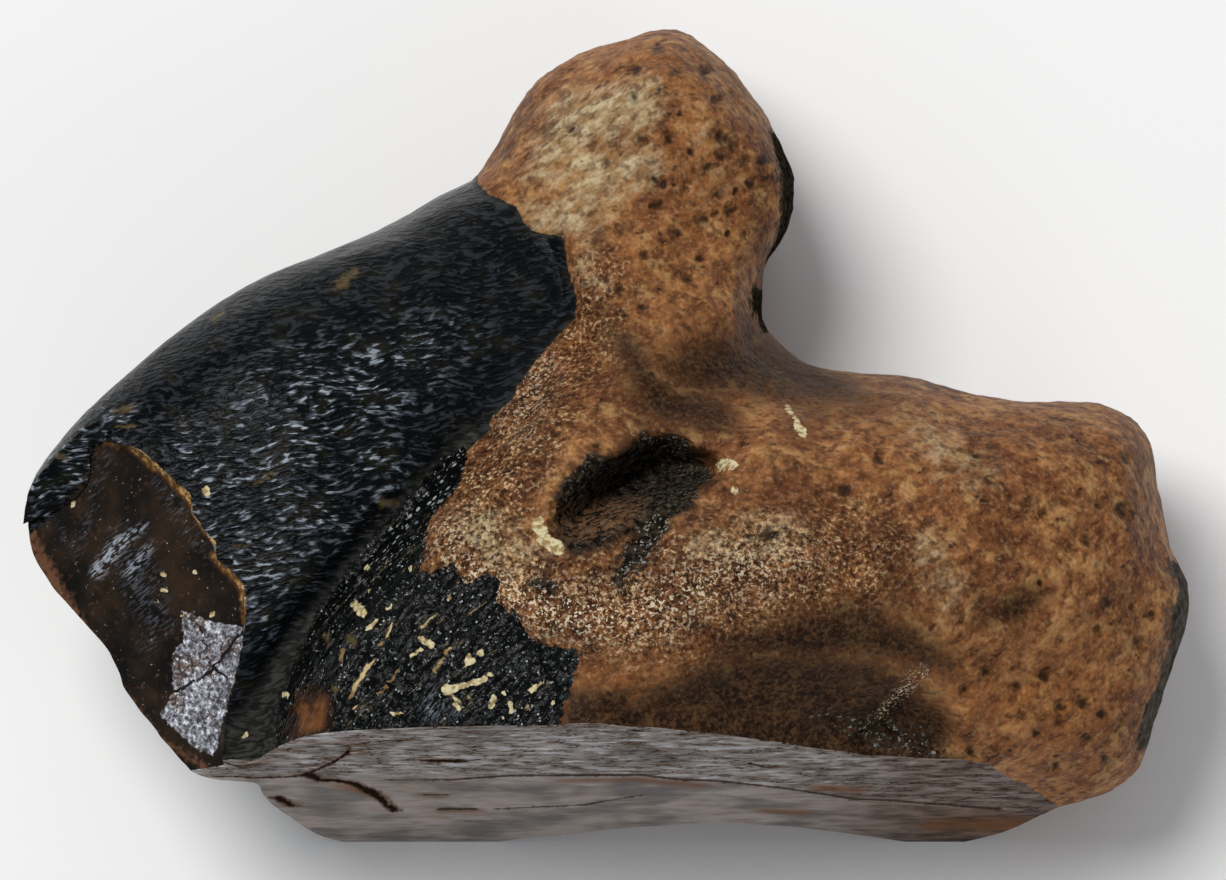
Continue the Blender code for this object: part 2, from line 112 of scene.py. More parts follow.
# %% Outlines of the crown
CHIP = [
    (-17.75, -0.05), (-17.05, -0.1), (-16.4, -0.25), (-16.15, -0.35), (-15.6, -0.8), (-15.0, -1.4),
    (-14.45, -1.8), (-14.35, -2.5), (-13.95, -3.1), (-13.55, -3.5), (-13.55, -4.1), (-13.05, -4.45),
    (-12.55, -5.0), (-12.5, -5.55), (-12.55, -6.45), (-12.7, -7.2), (-12.9, -8.3), (-13.2, -9.35),
    (-13.35, -10.8), (-13.5, -12.5), (-16.0, -13.5), (-20.0, -9.0), (-22.5, -4.0), (-20.05, -3.2),
    (-19.7, -2.95), (-18.6, -2.0), (-18.0, -1.3), (-18.0, -0.85),
]
SILVER = [
    (-14.78, -5.84), (-14.2, -6.05), (-13.65, -6.25), (-12.62, -6.37), (-12.65, -7.28), (-12.96, -8.3),
    (-13.34, -9.58), (-13.65, -10.8), (-14.17, -10.65), (-15.32, -9.66), (-15.5, -9.43), (-15.09, -8.67),
    (-15.09, -7.28), (-14.7, -6.9),
]
LOBE = [
    (-5.0, -0.2), (-4.4, -1.2), (-4.9, -3.4), (-3.85, -4.9), (-1.1, -7.3), (-1.0, -12.0), (-11.6, -12.0),
    (-11.4, -8.7), (-11.1, -8.2), (-10.15, -5.9), (-9.35, -4.75), (-7.5, -2.5), (-5.6, -0.4),
]
AMBER = [
    (-11.0, -9.0), (-10.6, -8.5), (-10.0, -8.35), (-9.5, -8.6), (-9.4, -9.2), (-9.6, -10.2), (-11.2, -10.2),
]
PIT = [
    (-2.0, -2.2), (-1.75, -1.45), (-1.25, -0.95), (-0.9, -0.45), (-0.1, -0.55), (0.5, -0.25), (0.95, 0.2),
    (2.0, 0.15), (2.75, -0.45), (3.45, -1.2), (2.95, -1.75), (2.6, -2.35), (1.75, -2.85), (0.6, -3.2),
    (-0.5, -3.75), (-1.4, -3.85), (-1.95, -3.2),
]


def outline_depth(places, outline):
    """How far inside the outline each (u, v) place is; less than 0 outside."""
    start = np.array(outline)
    end = np.roll(start, -1, axis=0)
    nearest = np.full(len(places), np.inf)
    within = np.zeros(len(places), bool)
    for (u0, v0), (u1, v1) in zip(start, end):
        run = np.array([u1 - u0, v1 - v0])
        offset = places[:, :2] - (u0, v0)
        share = np.clip(offset @ run / (run @ run), 0, 1)[:, None]
        nearest = np.minimum(nearest, np.linalg.norm(offset - share * run, axis=1))
        if v0 != v1:
            crossed = (v0 > places[:, 1]) != (v1 > places[:, 1])
            within ^= crossed & (places[:, 0] < u0 + (places[:, 1] - v0) * run[0] / run[1])
    return np.where(within, nearest, -nearest)


print("points in the root's ragged edge:", len(FRONT_ROOT), "and in the chip's:", len(CHIP))

# %% [markdown]
# ## Spots and strokes
#
# Pits, stains, specks and veins are dabs: a place, a radius and a strength, as with a brush. A path joins
# its dabs to a stroke. Only what can be told apart by eye is placed one by one; the countless rest is noise.
#
# The dots below are the root's vessel pits, each a place of its own. Their sizes are drawn at random from a
# fixed seed, because no two vessels are equally wide.

# %% Vessel pits
KNOB_PITS = [
    (1.55, 13.65), (0.75, 12.95), (2.15, 12.8), (3.2, 12.8), (1.6, 12.1), (0.7, 11.85), (3.6, 11.75),
    (2.3, 11.3), (1.75, 10.8), (1.95, 10.45), (0.95, 10.35), (-1.45, 10.75), (-0.25, 9.55), (3.7, 10.5),
    (4.15, 10.2), (3.8, 9.9), (2.7, 9.9), (3.3, 9.4), (5.2, 9.7), (1.4, 9.0), (1.7, 8.85), (2.5, 8.65),
    (3.65, 8.5), (4.25, 8.6), (4.85, 8.85), (1.5, 8.1), (3.55, 7.85), (4.05, 7.95), (3.1, 7.6), (1.65, 7.1),
    (2.15, 7.1), (4.0, 7.1), (0.25, 7.2), (1.1, 6.4), (3.0, 6.3), (2.6, 5.6), (0.15, 5.2), (1.0, 4.55),
    (0.35, 4.35),
]
ROOT_PITS = [
    (9.05, -0.6), (12.35, -0.5), (7.9, -1.7), (14.7, -2.5), (16.7, -2.2), (17.45, -2.4), (17.6, -0.6),
    (16.25, -3.45), (15.65, -3.75), (14.55, -4.9), (16.95, -5.6), (17.8, -5.75), (18.45, -5.95),
    (16.6, -6.5), (18.0, -6.95), (12.75, -7.95), (14.8, -8.05), (13.75, -8.45), (11.95, -8.45),
    (16.1, -8.95), (15.3, -9.1), (16.8, -9.4), (15.3, -9.65), (14.5, -10.1), (16.3, -10.25),
    (13.55, -10.65), (12.25, -10.7), (17.0, -11.05), (15.15, -11.25), (5.2, -3.15), (5.5, -0.9),
    (7.1, -7.05),
]
PIT_RADIUS = 0.25
PIT_DEPTH = 0.13

sizes = np.random.default_rng(5).uniform(0.65, 1.5, len(KNOB_PITS + ROOT_PITS)) * PIT_RADIUS
PITS = [[(u, v, radius, 1.0)] for (u, v), radius in zip(KNOB_PITS + ROOT_PITS, sizes)]


def strokes(places, paths):
    """The strongest stroke at each place: its strength on the path, nothing past its radius."""
    strongest = np.zeros(len(places))
    for path in paths:
        dabs = np.array(path if len(path) > 1 else path * 2, dtype=float)
        for start, end in zip(dabs[:-1], dabs[1:]):
            run = end[:2] - start[:2]
            offset = places[:, :2] - start[:2]
            share = np.clip(offset @ run / max(run @ run, 1e-9), 0, 1)[:, None]
            radius, strength = (start[2:] * (1 - share) + end[2:] * share).T
            gap = np.linalg.norm(offset - share * run, axis=1)
            strongest = np.maximum(strongest, strength * np.clip(1 - gap / radius, 0, 1))
    return strongest


print("vessel pits:", len(PITS), "of radius", sizes.min().round(2), "to", sizes.max().round(2), "mm")

# %% [markdown]
# The root's marks come in several kinds. Dark ones are painted shade in its hollows and under its
# overhangs, with some darker stain among them. Orange ones are stains on what stands proud, and pale ones
# are partly a paler tone and partly a painted highlight on what stands proud. Gritty ones say where the
# cement was left rough, and glinting ones are painted glints of light. Black patches lie in and beside the
# deep pit, whose floor is brown, and painted shade of the same black fills the pocket under the root above
# the wear facet. Painted shade, drawn as black, lies along the knob's side that faces away from the light,
# and grey slate lies just round the edge of the root's end.

# %% Stains, painted highlights and painted shade of the root
# Painted shade in the root's hollows and under its overhangs, with some darker stain among it.
SHADE_AND_DARK_STAINS = [
    [(0.0, -7.5, 1.4, 0.35), (2.4, -7.3, 1.4, 0.4)],
    [(1.3, 2.6, 1.5, 0.5), (3.2, 2.5, 2.0, 0.8), (5.4, 2.5, 2.0, 0.9), (7.6, 1.8, 1.6, 0.75),
     (9.4, 1.0, 1.3, 0.3)],
    [(-0.4, 4.2, 1.0, 0.4), (0.6, 3.0, 1.4, 0.7), (1.6, 1.2, 1.4, 0.8), (3.6, 0.9, 1.4, 0.7)],
    [(0.0, -9.4, 1.2, 0.7), (2.6, -8.6, 1.7, 0.9), (5.4, -8.4, 2.3, 1.1), (8.4, -8.8, 2.4, 1.2),
     (10.6, -9.9, 1.6, 1.1)],
    [(3.8, -7.0, 1.2, 0.6), (5.8, -6.8, 1.7, 0.8), (8.4, -6.4, 1.8, 1.0), (10.0, -7.0, 1.4, 0.8),
     (11.2, -7.6, 1.0, 0.6)],
    [(9.2, -2.9, 0.9, 0.3), (9.4, -4.8, 1.1, 0.4), (9.6, -6.0, 1.1, 0.5)],
    [(12.6, -6.1, 0.8, 0.4), (13.8, -5.7, 0.9, 0.8), (14.8, -5.1, 0.7, 0.5)],
    [(-1.2, -9.3, 1.1, 1.0), (2.0, -9.7, 1.3, 1.2), (5.0, -10.0, 1.4, 1.3), (8.0, -10.4, 1.5, 1.3),
     (10.6, -11.0, 1.2, 1.2)],
    [(10.6, -11.0, 1.2, 1.2), (12.2, -11.7, 0.8, 1.0), (13.4, -12.4, 0.6, 0.8), (15.4, -13.2, 0.4, 0.6)],
    [(0.2, -8.9, 1.0, 0.9), (-1.2, -8.8, 0.7, 0.9)],
]
ORANGE = [
    [(0.4, -7.5, 1.4, 1.1), (2.3, -7.3, 1.2, 0.9)],
    [(12.5, -8.4, 2.4, 0.6), (15.6, -8.2, 2.6, 0.9), (15.0, -10.6, 2.6, 0.9)],
    [(3.0, 11.2, 1.8, 0.6), (3.6, 7.8, 1.8, 0.8)],
    [(0.0, 13.6, 1.2, 0.6), (1.8, 12.6, 1.4, 0.7)],
    [(6.0, -3.9, 1.6, 0.5), (8.0, -4.2, 1.4, 0.4)],
    [(0.4, 6.6, 1.2, 0.5), (-1.6, 2.6, 1.4, 0.4)],
]
# A paler tone, partly a painted highlight on the knob and on what stands proud.
PALE_AND_HIGHLIGHTS = [
    [(3.2, 11.2, 1.8, 0.3), (3.6, 8.0, 1.8, 0.28)],
    [(-2.6, 9.3, 1.2, 0.7), (-1.2, 11.0, 1.8, 1.0), (0.9, 11.6, 1.5, 1.1)],
    [(-0.8, 9.2, 1.9, 1.1), (1.0, 9.4, 1.3, 0.8)],
    [(-2.6, 7.7, 1.2, 0.8), (-0.8, 7.9, 1.4, 0.8)],
    [(-0.9, 6.2, 1.0, 0.5), (-0.4, 5.2, 0.9, 0.4)],
    [(-4.6, -3.0, 1.4, 0.8), (-3.2, -3.9, 1.4, 0.7)],
    [(10.8, -3.6, 1.4, 0.45), (11.4, -5.4, 1.2, 0.45)],
    [(5.6, -3.4, 1.4, 0.6), (2.9, -3.6, 1.2, 0.5)],
    [(10.6, 0.2, 1.2, 0.6), (12.4, -1.2, 1.6, 0.4)],
]
GRITTY = [
    [(-5.2, -3.6, 2.4, 1.5), (-3.8, -1.0, 2.2, 1.4), (-2.4, 1.4, 2.2, 1.2), (-1.0, 3.6, 2.4, 1.0),
     (-0.4, 5.8, 1.8, 0.8)],
    [(-4.0, -4.6, 2.2, 1.5), (-1.0, -5.6, 2.8, 1.5), (2.2, -5.4, 3.2, 1.5), (5.0, -4.4, 3.2, 1.3),
     (9.0, -3.8, 2.8, 0.9)],
]
# Painted glints of light.
GLINTING = [
    [(-5.6, -3.4, 1.2, 0.9), (-4.6, -4.7, 1.2, 1.1), (-2.6, -5.6, 1.2, 1.2), (-0.6, -5.9, 1.5, 1.3),
     (1.6, -5.6, 1.6, 1.1)],
    [(1.6, -5.6, 1.6, 1.1), (3.6, -4.6, 1.5, 0.9), (6.6, -4.0, 1.4, 0.5)],
    [(-3.2, 0.6, 1.2, 0.7), (-2.4, 2.4, 1.0, 0.6)],
    [(8.7, -9.9, 0.35, 0.9), (9.4, -9.0, 0.3, 1.2), (10.5, -7.9, 0.4, 1.2)],
    [(12.2, -11.4, 0.35, 1.0)],
]
# Painted shade, drawn as black, along the knob's side that faces away from the light.
SHADED_SIDE = [
    [(5.7, 10.5, 0.35, 1.3), (6.15, 9.4, 0.6, 1.3), (6.3, 8.2, 0.7, 1.3), (5.95, 7.0, 0.5, 1.3),
     (5.5, 6.2, 0.35, 1.3)],
    [(5.2, 5.3, 0.5, 1.3), (5.1, 4.4, 0.6, 1.3), (5.2, 3.8, 0.3, 1.3)],
]
# Black patches by the pit, and painted shade in the pocket under the root above the wear facet.
BLACK_PATCHES_AND_SHADE = [
    [(1.6, -2.8, 0.6, 1.1), (0.9, -3.7, 0.8, 1.1), (0.2, -4.6, 0.6, 0.8)],
    [(1.0, 0.1, 0.4, 0.9), (2.3, -0.2, 0.5, 1.0)],
    [(-2.55, -4.85, 0.45, 1.1), (-2.1, -5.0, 0.4, 1.1)],
    [(7.0, -9.4, 0.8, 0.4), (8.8, -9.8, 1.2, 0.62), (10.8, -10.6, 1.1, 0.6)],
    [(5.4, -3.2, 0.25, 0.8), (5.6, -3.0, 0.2, 0.7)],
]
PIT_FLOOR = [[(-1.3, -2.7, 1.0, 1.2), (0.0, -2.7, 0.9, 1.0), (0.8, -2.2, 0.6, 0.6)]]
SLATE = [
    [(19.3, -4.0, 0.3, 1.2), (19.8, -5.2, 0.42, 1.3), (19.5, -6.9, 0.42, 1.3), (18.9, -8.9, 0.42, 1.3),
     (18.2, -10.6, 0.3, 1.2)],
]
print("dark stains on the root:", len(SHADE_AND_DARK_STAINS), "and pale ones:", len(PALE_AND_HIGHLIGHTS))

# %% [markdown]
# Cream crystals have grown in cracks and bubbles everywhere: beside the pit, in the saddle of the root, and
# as specks and thin veins all over the pebbly lobe, where the veins fan out from the upper right.

# %% Cream crystals
CREAM = [
    [(-2.55, -2.75, 0.25, 1.2), (-2.4, -3.3, 0.3, 1.2), (-1.85, -3.7, 0.3, 1.2)],
    [(3.7, -0.85, 0.3, 1.0), (4.05, -0.8, 0.25, 1.0)],
    [(4.15, -1.65, 0.2, 0.8)],
    [(5.95, 1.15, 0.2, 1.0), (6.2, 0.8, 0.15, 0.7), (6.45, 0.25, 0.25, 1.0)],
    [(-8.75, -5.6, 0.22, 1.1), (-8.5, -5.85, 0.25, 1.2)],
    [(-8.42, -4.37, 0.16, 0.9)],
    [(-8.3, -5.15, 0.12, 1.1)],
    [(-6.9, -4.3, 0.12, 0.9), (-6.85, -4.5, 0.08, 0.9)],
    [(-5.56, -5.42, 0.14, 1.2)],
    [(-8.25, -6.4, 0.12, 1.0), (-8.0, -6.15, 0.12, 1.0)],
    [(-7.65, -5.75, 0.09, 0.9), (-7.5, -5.55, 0.06, 0.8)],
    [(-6.5, -6.75, 0.16, 1.1), (-6.2, -6.95, 0.2, 1.1)],
    [(-6.85, -7.29, 0.1, 0.9), (-6.5, -7.1, 0.1, 0.9)],
    [(-4.9, -7.35, 0.18, 1.2), (-4.85, -7.55, 0.14, 1.2)],
    [(-4.49, -7.19, 0.22, 1.2)],
    [(-5.7, -8.5, 0.24, 1.2), (-5.06, -8.32, 0.15, 1.2), (-4.42, -8.12, 0.16, 1.2),
     (-4.0, -7.82, 0.07, 1.0)],
    [(-5.26, -8.8, 0.1, 1.1), (-5.26, -9.1, 0.12, 1.1)],
    [(-4.14, -8.95, 0.2, 1.2), (-4.0, -8.75, 0.14, 1.0)],
    [(-3.66, -8.6, 0.13, 1.1)],
    [(-3.5, -8.95, 0.11, 1.1), (-3.45, -9.2, 0.09, 1.0)],
    [(-2.75, -8.45, 0.17, 1.2), (-2.35, -8.2, 0.1, 1.0)],
    [(-2.01, -8.88, 0.13, 0.8)],
    [(-3.7, -9.4, 0.1, 0.9)],
    [(-7.5, -9.3, 0.1, 0.9), (-7.05, -9.2, 0.08, 0.9)],
    [(-11.19, -8.68, 0.15, 1.2)],
    [(-12.55, -10.1, 0.12, 1.3)],
    [(-13.9, -1.75, 0.22, 1.2)],
    [(-15.4, -4.6, 0.15, 1.2)],
    [(-15.4, -5.15, 0.15, 1.2)],
    [(-14.3, -4.5, 0.1, 1.1)],
    [(-18.55, -2.2, 0.15, 1.1)],
    [(-13.7, -5.95, 0.16, 1.0)],
    [(-14.75, -6.0, 0.1, 0.8)],
]
VEINS = [
    [(-7.5, -6.2, 0.07, 0.7), (-7.75, -6.8, 0.08, 0.9), (-8.0, -7.05, 0.06, 0.8)],
    [(-7.95, -7.3, 0.06, 0.8), (-8.35, -7.85, 0.09, 1.2), (-8.95, -8.75, 0.08, 1.1)],
    [(-7.3, -7.8, 0.07, 0.8), (-7.75, -8.35, 0.1, 0.9)],
    [(-7.7, -8.4, 0.06, 0.7), (-8.75, -9.05, 0.06, 0.8)],
    [(-5.45, -7.0, 0.07, 1.0), (-6.1, -7.9, 0.08, 1.1)],
    [(-6.0, -5.9, 0.05, 0.6), (-6.5, -6.35, 0.06, 0.8)],
    [(-5.0, -8.5, 0.05, 0.9), (-4.65, -9.05, 0.05, 0.8)],
    [(-3.0, -9.0, 0.05, 0.9), (-2.6, -8.8, 0.05, 0.8)],
    [(-4.3, -5.5, 0.06, 0.7), (-4.9, -5.9, 0.05, 0.6)],
    [(-9.15, -7.1, 0.09, 0.8), (-9.2, -7.6, 0.06, 0.7)],
]
TAN = [
    [(-8.85, -6.85, 0.28, 1.0)],
    [(-9.76, -6.65, 0.2, 0.8), (-9.7, -6.95, 0.14, 0.8)],
    [(-9.42, -8.45, 0.22, 1.1)],
    [(-13.7, 4.15, 0.24, 1.0), (-13.4, 4.4, 0.2, 0.8)],
    [(-9.4, 5.3, 0.32, 1.0), (-8.9, 5.75, 0.28, 0.9)],
    [(-7.9, -2.1, 0.3, 0.9), (-7.4, -2.2, 0.2, 0.7)],
    [(-12.2, -1.5, 0.16, 0.8), (-11.6, -1.1, 0.12, 0.8)],
    [(-17.1, 1.0, 0.12, 0.9), (-16.5, 1.1, 0.15, 1.1)],
    [(-17.0, 0.45, 0.08, 0.9), (-16.4, 0.5, 0.09, 1.1)],
    [(-19.1, -0.5, 0.2, 1.0), (-18.8, -0.65, 0.14, 0.9)],
    [(-13.0, -3.6, 0.16, 0.7), (-12.4, -3.5, 0.16, 0.6)],
]
print("crystals:", len(CREAM), "specks,", len(VEINS), "veins and", len(TAN), "tan ones")

# %% [markdown]
# The crown has strokes too: where its wrinkles stand highest and carry painted glints, the smooth valley
# between the flank and the lobe, the beads of painted highlight along that valley, and on the chip a
# golden rim, a reddish edge, a painted glint streak and a painted bluish sheen. The chip's edge is scuffed
# at the keel's tip. Fine cracks cross its silvery facet, and some of the lobe's pebbles carry a fine
# hatching.

# %% Strokes of the crown
# Where the wrinkles stand highest and carry painted glints and painted sheen.
GLINT_WRINKLES = [
    [(-5.6, 3.6, 1.8, 0.5), (-8.0, 2.2, 2.6, 1.0), (-10.8, 0.8, 3.0, 1.25), (-12.4, -1.6, 2.6, 1.25),
     (-11.8, -4.2, 2.2, 0.9)],
    [(-14.6, -0.4, 1.8, 0.9), (-13.6, -2.2, 1.6, 1.0), (-12.2, -6.0, 1.6, 0.7)],
    [(-8.4, -1.0, 2.2, 0.9), (-10.0, -2.6, 2.0, 0.9)],
    [(-19.6, -2.0, 1.2, 1.5), (-18.6, -0.9, 1.3, 1.4), (-17.0, 0.8, 1.2, 0.8)],
]
VALLEY = [[(-4.9, 0.1, 0.6, 1), (-8.0, -3.4, 0.65, 1), (-10.7, -6.9, 0.75, 1), (-12.4, -10.4, 1.3, 1)]]
# Beads of painted highlight along the valley.
BEAD_GLINTS = [[(-5.1, -0.6, 0.35, 1.0), (-5.7, -1.5, 0.5, 1.3), (-6.9, -2.8, 0.5, 1.2), (-8.6, -4.8, 0.3, 0.6)]]
GOLD = [
    [(-17.6, -0.1, 0.12, 0.5), (-16.75, -0.15, 0.18, 0.7), (-16.2, -0.4, 0.28, 1.2),
     (-15.5, -1.0, 0.24, 0.9), (-14.5, -1.9, 0.3, 1.1)],
    [(-14.5, -1.8, 0.26, 1.1), (-14.35, -2.4, 0.14, 0.8), (-13.6, -3.5, 0.16, 0.9)],
    [(-13.6, -4.0, 0.28, 0.9), (-13.0, -4.5, 0.28, 1.0), (-12.65, -5.1, 0.2, 0.8),
     (-12.6, -6.2, 0.12, 0.6)],
]
RUDDY = [
    [(-20.1, -3.3, 0.5, 0.9), (-19.2, -5.0, 0.42, 1.1), (-18.2, -6.5, 0.34, 0.8), (-17.3, -7.7, 0.3, 0.6)],
    [(-16.8, -8.6, 0.24, 0.5), (-15.6, -10.2, 0.24, 0.6), (-14.0, -11.2, 0.26, 0.8)],
]
# A painted glint streak on the chip.
GLINT_STREAK = [
    [(-16.0, -2.9, 0.25, 0.6), (-17.0, -3.6, 0.42, 1.2), (-17.7, -4.5, 0.4, 1.3)],
    [(-15.8, -3.6, 0.3, 0.6), (-16.6, -4.5, 0.4, 0.8)],
]
SCUFFED = [[(-19.9, -2.4, 0.9, 1.0), (-18.2, -1.6, 0.9, 1.0), (-17.5, 0.0, 0.7, 0.8)]]
# A painted bluish sheen on the chip's scratches.
SHEEN = [
    [(-17.0, -3.2, 0.9, 0.8), (-16.2, -4.8, 1.2, 1.2), (-15.6, -6.2, 1.0, 1.1), (-16.0, -7.2, 0.7, 0.7)],
    [(-15.6, -1.5, 0.6, 0.8), (-14.6, -2.8, 0.7, 0.9), (-14.0, -4.0, 0.5, 0.7)],
    [(-17.4, -0.6, 0.5, 0.8), (-18.4, -3.9, 0.4, 0.8), (-19.4, -2.7, 0.4, 0.7)],
]
CRACKS = [
    [(-15.25, -8.75, 0.07, 1.2), (-13.95, -8.05, 0.07, 1.2), (-13.65, -7.75, 0.06, 1.1),
     (-12.65, -6.55, 0.08, 1.3)],
    [(-13.7, -7.75, 0.07, 1.2), (-13.15, -8.2, 0.06, 1.0)],
    [(-13.75, -7.7, 0.05, 0.9), (-14.2, -6.3, 0.05, 0.9)],
]
HATCHED = [
    [(-6.0, -8.4, 0.4, 0.7), (-6.1, -9.1, 0.6, 1.2), (-5.4, -9.2, 0.4, 0.8)],
    [(-7.1, -6.9, 0.35, 0.9)],
    [(-3.2, -7.6, 0.4, 0.8)],
]
print("rubbed strokes on the crown:", len(GLINT_WRINKLES), "and golden ones:", len(GOLD))

# %% [markdown]
# The wear facet is flat, so its marks are drawn on it as if it were paper: x across, z up from the floor. A
# crack runs in from its left end, one brown growth line crosses all of it, and stains lie below the line.

# %% Marks on the wear facet
FACET_CRACK = [
    [(-10.9, 9.7, 0.3, 0.8), (-10.4, 10.0, 0.4, 1.1), (-10.1, 9.1, 0.35, 1.0), (-9.5, 9.1, 0.3, 1.0),
     (-8.9, 8.6, 0.4, 1.1)],
    [(-8.9, 8.6, 0.4, 1.1), (-8.3, 7.4, 0.4, 1.1), (-8.0, 6.4, 0.4, 1.0), (-7.6, 4.6, 0.4, 0.7)],
    [(-13.7, 9.7, 0.12, 1.0), (-12.2, 9.5, 0.12, 1.1), (-11.0, 9.6, 0.14, 1.1)],
    [(-13.4, 11.8, 0.1, 0.9), (-12.6, 10.9, 0.1, 0.9)],
    [(-10.4, 10.2, 0.14, 1.1), (-9.6, 11.6, 0.12, 1.0), (-9.1, 12.9, 0.14, 1.1), (-8.9, 13.9, 0.1, 0.8)],
    [(-9.2, 14.0, 0.1, 0.9), (-7.8, 14.8, 0.1, 1.0), (-6.9, 14.8, 0.1, 0.8)],
    [(-6.6, 11.9, 0.12, 1.0), (-5.0, 11.9, 0.12, 1.1), (-4.4, 12.2, 0.1, 0.8)],
    [(4.6, 11.6, 0.1, 0.8), (5.2, 11.0, 0.1, 0.9)],
    [(-11.6, 6.6, 0.4, 1.0), (-11.1, 5.4, 0.4, 0.8)],
]
FACET_LINE = [
    [(-7.9, 9.2, 0.16, 0.6), (-5.5, 9.2, 0.2, 0.9), (-3.5, 9.8, 0.24, 1.0), (0.9, 9.9, 0.24, 1.0),
     (2.1, 9.3, 0.24, 1.0), (3.6, 9.0, 0.22, 0.9)],
    [(3.6, 9.0, 0.22, 0.9), (5.8, 8.0, 0.2, 0.8), (8.3, 6.4, 0.2, 0.8), (9.8, 6.1, 0.2, 0.7),
     (13.3, 4.9, 0.3, 0.8)],
    [(-4.0, 4.9, 0.2, 0.6), (-1.0, 5.5, 0.2, 0.7), (0.9, 6.9, 0.2, 0.6)],
    [(-6.5, 7.0, 0.2, 0.8), (-5.7, 7.0, 0.2, 0.7)],
    [(-5.9, 4.9, 0.3, 1.0), (-4.8, 4.9, 0.3, 0.9)],
]
FACET_STAINS = [
    [(-9.4, 8.3, 0.7, 1.0), (-8.2, 7.0, 0.7, 0.9)],
    [(-6.8, 8.6, 0.6, 0.6), (-5.2, 8.6, 0.6, 0.6)],
    [(-1.8, 9.0, 0.6, 0.9), (0.9, 9.2, 0.7, 1.0), (3.0, 8.3, 0.7, 0.9)],
    [(7.2, 7.9, 0.9, 1.2), (8.4, 7.7, 0.8, 1.1)],
    [(5.2, 4.6, 0.7, 0.9), (6.6, 4.3, 0.8, 1.0)],
    [(-6.5, 6.8, 0.6, 0.7), (-5.9, 6.6, 0.6, 0.7)],
    [(-5.9, 4.6, 0.6, 0.9), (-4.7, 4.6, 0.6, 0.8)],
    [(11.6, 2.6, 1.6, 1.1), (13.8, 2.6, 1.8, 1.3)],
    [(-12.6, 11.8, 0.7, 0.7), (-11.4, 12.0, 0.6, 0.6)],
    [(-9.6, 14.4, 0.6, 0.8), (-8.6, 14.6, 0.6, 0.7)],
]
print("marks on the facet:", len(FACET_CRACK + FACET_LINE + FACET_STAINS))

# %% [markdown]
# ## A dense copy of the surface
#
# The imported model has large triangles. Fine relief needs small ones, but only where there is something fine
# to show, so the copy is made dense in steps: one smooth subdivision everywhere, a second cut on the side
# that carries the detail, and a third at the enamel whose wrinkles carry the painted glints, the pits, the
# crystals and the edges of the zones. The wear facet comes as one huge polygon and is cut into a grid first,
# and cut again only along its marks. Edges that are sharp on the model keep a crease.

# %% Welding, gridding and creasing
GRID = 0.7
SHARP = radians(38)
FLAT = 0.02  # how near a vertex lies to the facet's or the floor's plane to count as on it
TOUCHING = 1e-7  # vertices nearer than this, in m, are one


def on_facet(place):
    return place.y < (LOW[1] + FLAT) * MM


def facet_geometry(form):
    faces = [face for face in form.faces if all(on_facet(corner.co) for corner in face.verts)]
    edges = {edge for face in faces for edge in face.edges}
    corners = {corner for face in faces for corner in face.verts}
    return faces, faces + list(edges) + list(corners)


form = bmesh.new()
form.from_mesh(tooth.data)
bmesh.ops.remove_doubles(form, verts=form.verts, dist=TOUCHING)
bmesh.ops.dissolve_faces(form, faces=facet_geometry(form)[0])
for axis in (0, 2):
    for place in np.arange(LOW[axis] + GRID, HIGH[axis], GRID):
        normal = Vector((axis == 0, 0, axis == 2))
        cut = {"plane_co": normal * place * MM, "plane_no": normal, "dist": TOUCHING}
        bmesh.ops.bisect_plane(form, geom=facet_geometry(form)[1], **cut)
crease = form.edges.layers.float.new("crease_edge")
for edge in form.edges:
    if edge.is_manifold and edge.calc_face_angle() > SHARP:
        edge[crease] = 1
        edge.smooth = False
print("welded:", len(form.verts), "vertices,", sum(edge[crease] > 0 for edge in form.edges), "sharp edges")

# %% The smooth subdivision
skin = bpy.data.objects.new("fossil_tooth", bpy.data.meshes.new("fossil_tooth"))
bpy.context.scene.collection.objects.link(skin)
form.to_mesh(skin.data)
form.free()
subdivision = skin.modifiers.new("smooth", "SUBSURF")
subdivision.levels = 1
subdivision.render_levels = 1
made = bpy.data.meshes.new_from_object(skin.evaluated_get(bpy.context.evaluated_depsgraph_get()))
skin.modifiers.clear()
skin.data = made
print("smooth:", len(made.polygons), "faces")

# %% Finer faces where there is more to show
TURNED = 0.3  # a face whose normal leans to w by at least this shows in the side view
EDGE_BAND = 0.12  # the root's ragged edge gets the finest faces this far to either side
STRONG_GLINT_WRINKLES = 0.45  # and so does enamel whose wrinkles carry painted glints at least this strongly
RELAXING_ROUNDS = 2
RELAXING = 0.4  # how far a new vertex goes to the middle of its neighbours in each round
TOWARDS_W = Vector(UPRIGHT[:, 2])


def refine(form, wanted):
    """Cuts each wanted face in four, and relaxes the new vertices that lie on no flat or sharp place."""
    centres = np.array([face.calc_center_median()[:] for face in form.faces]) / MM
    facing = np.array([face.normal @ TOWARDS_W for face in form.faces])
    form.faces.ensure_lookup_table()
    chosen = np.flatnonzero(wanted(centres, side_view(centres), facing))
    edges = {edge for n in chosen for edge in form.faces[n].edges}
    bmesh.ops.subdivide_edges(form, edges=list(edges), cuts=1, use_grid_fill=True)
    sharp = {corner for edge in form.edges if not edge.smooth for corner in edge.verts}
    free = [
        corner for corner in form.verts
        if corner not in sharp and not on_facet(corner.co) and corner.co.z > FLAT * MM
    ]
    every_way = {"use_axis_x": True, "use_axis_y": True, "use_axis_z": True}
    for _ in range(RELAXING_ROUNDS):
        bmesh.ops.smooth_vert(form, verts=free, factor=RELAXING, **every_way)
    print("refined:", len(form.faces), "faces")


def facet_view(places):
    """Places on the wear facet as if it were paper: x from the side view's origin, and z."""
    return np.column_stack((places[:, 0] - ORIGIN[0], places[:, 2]))


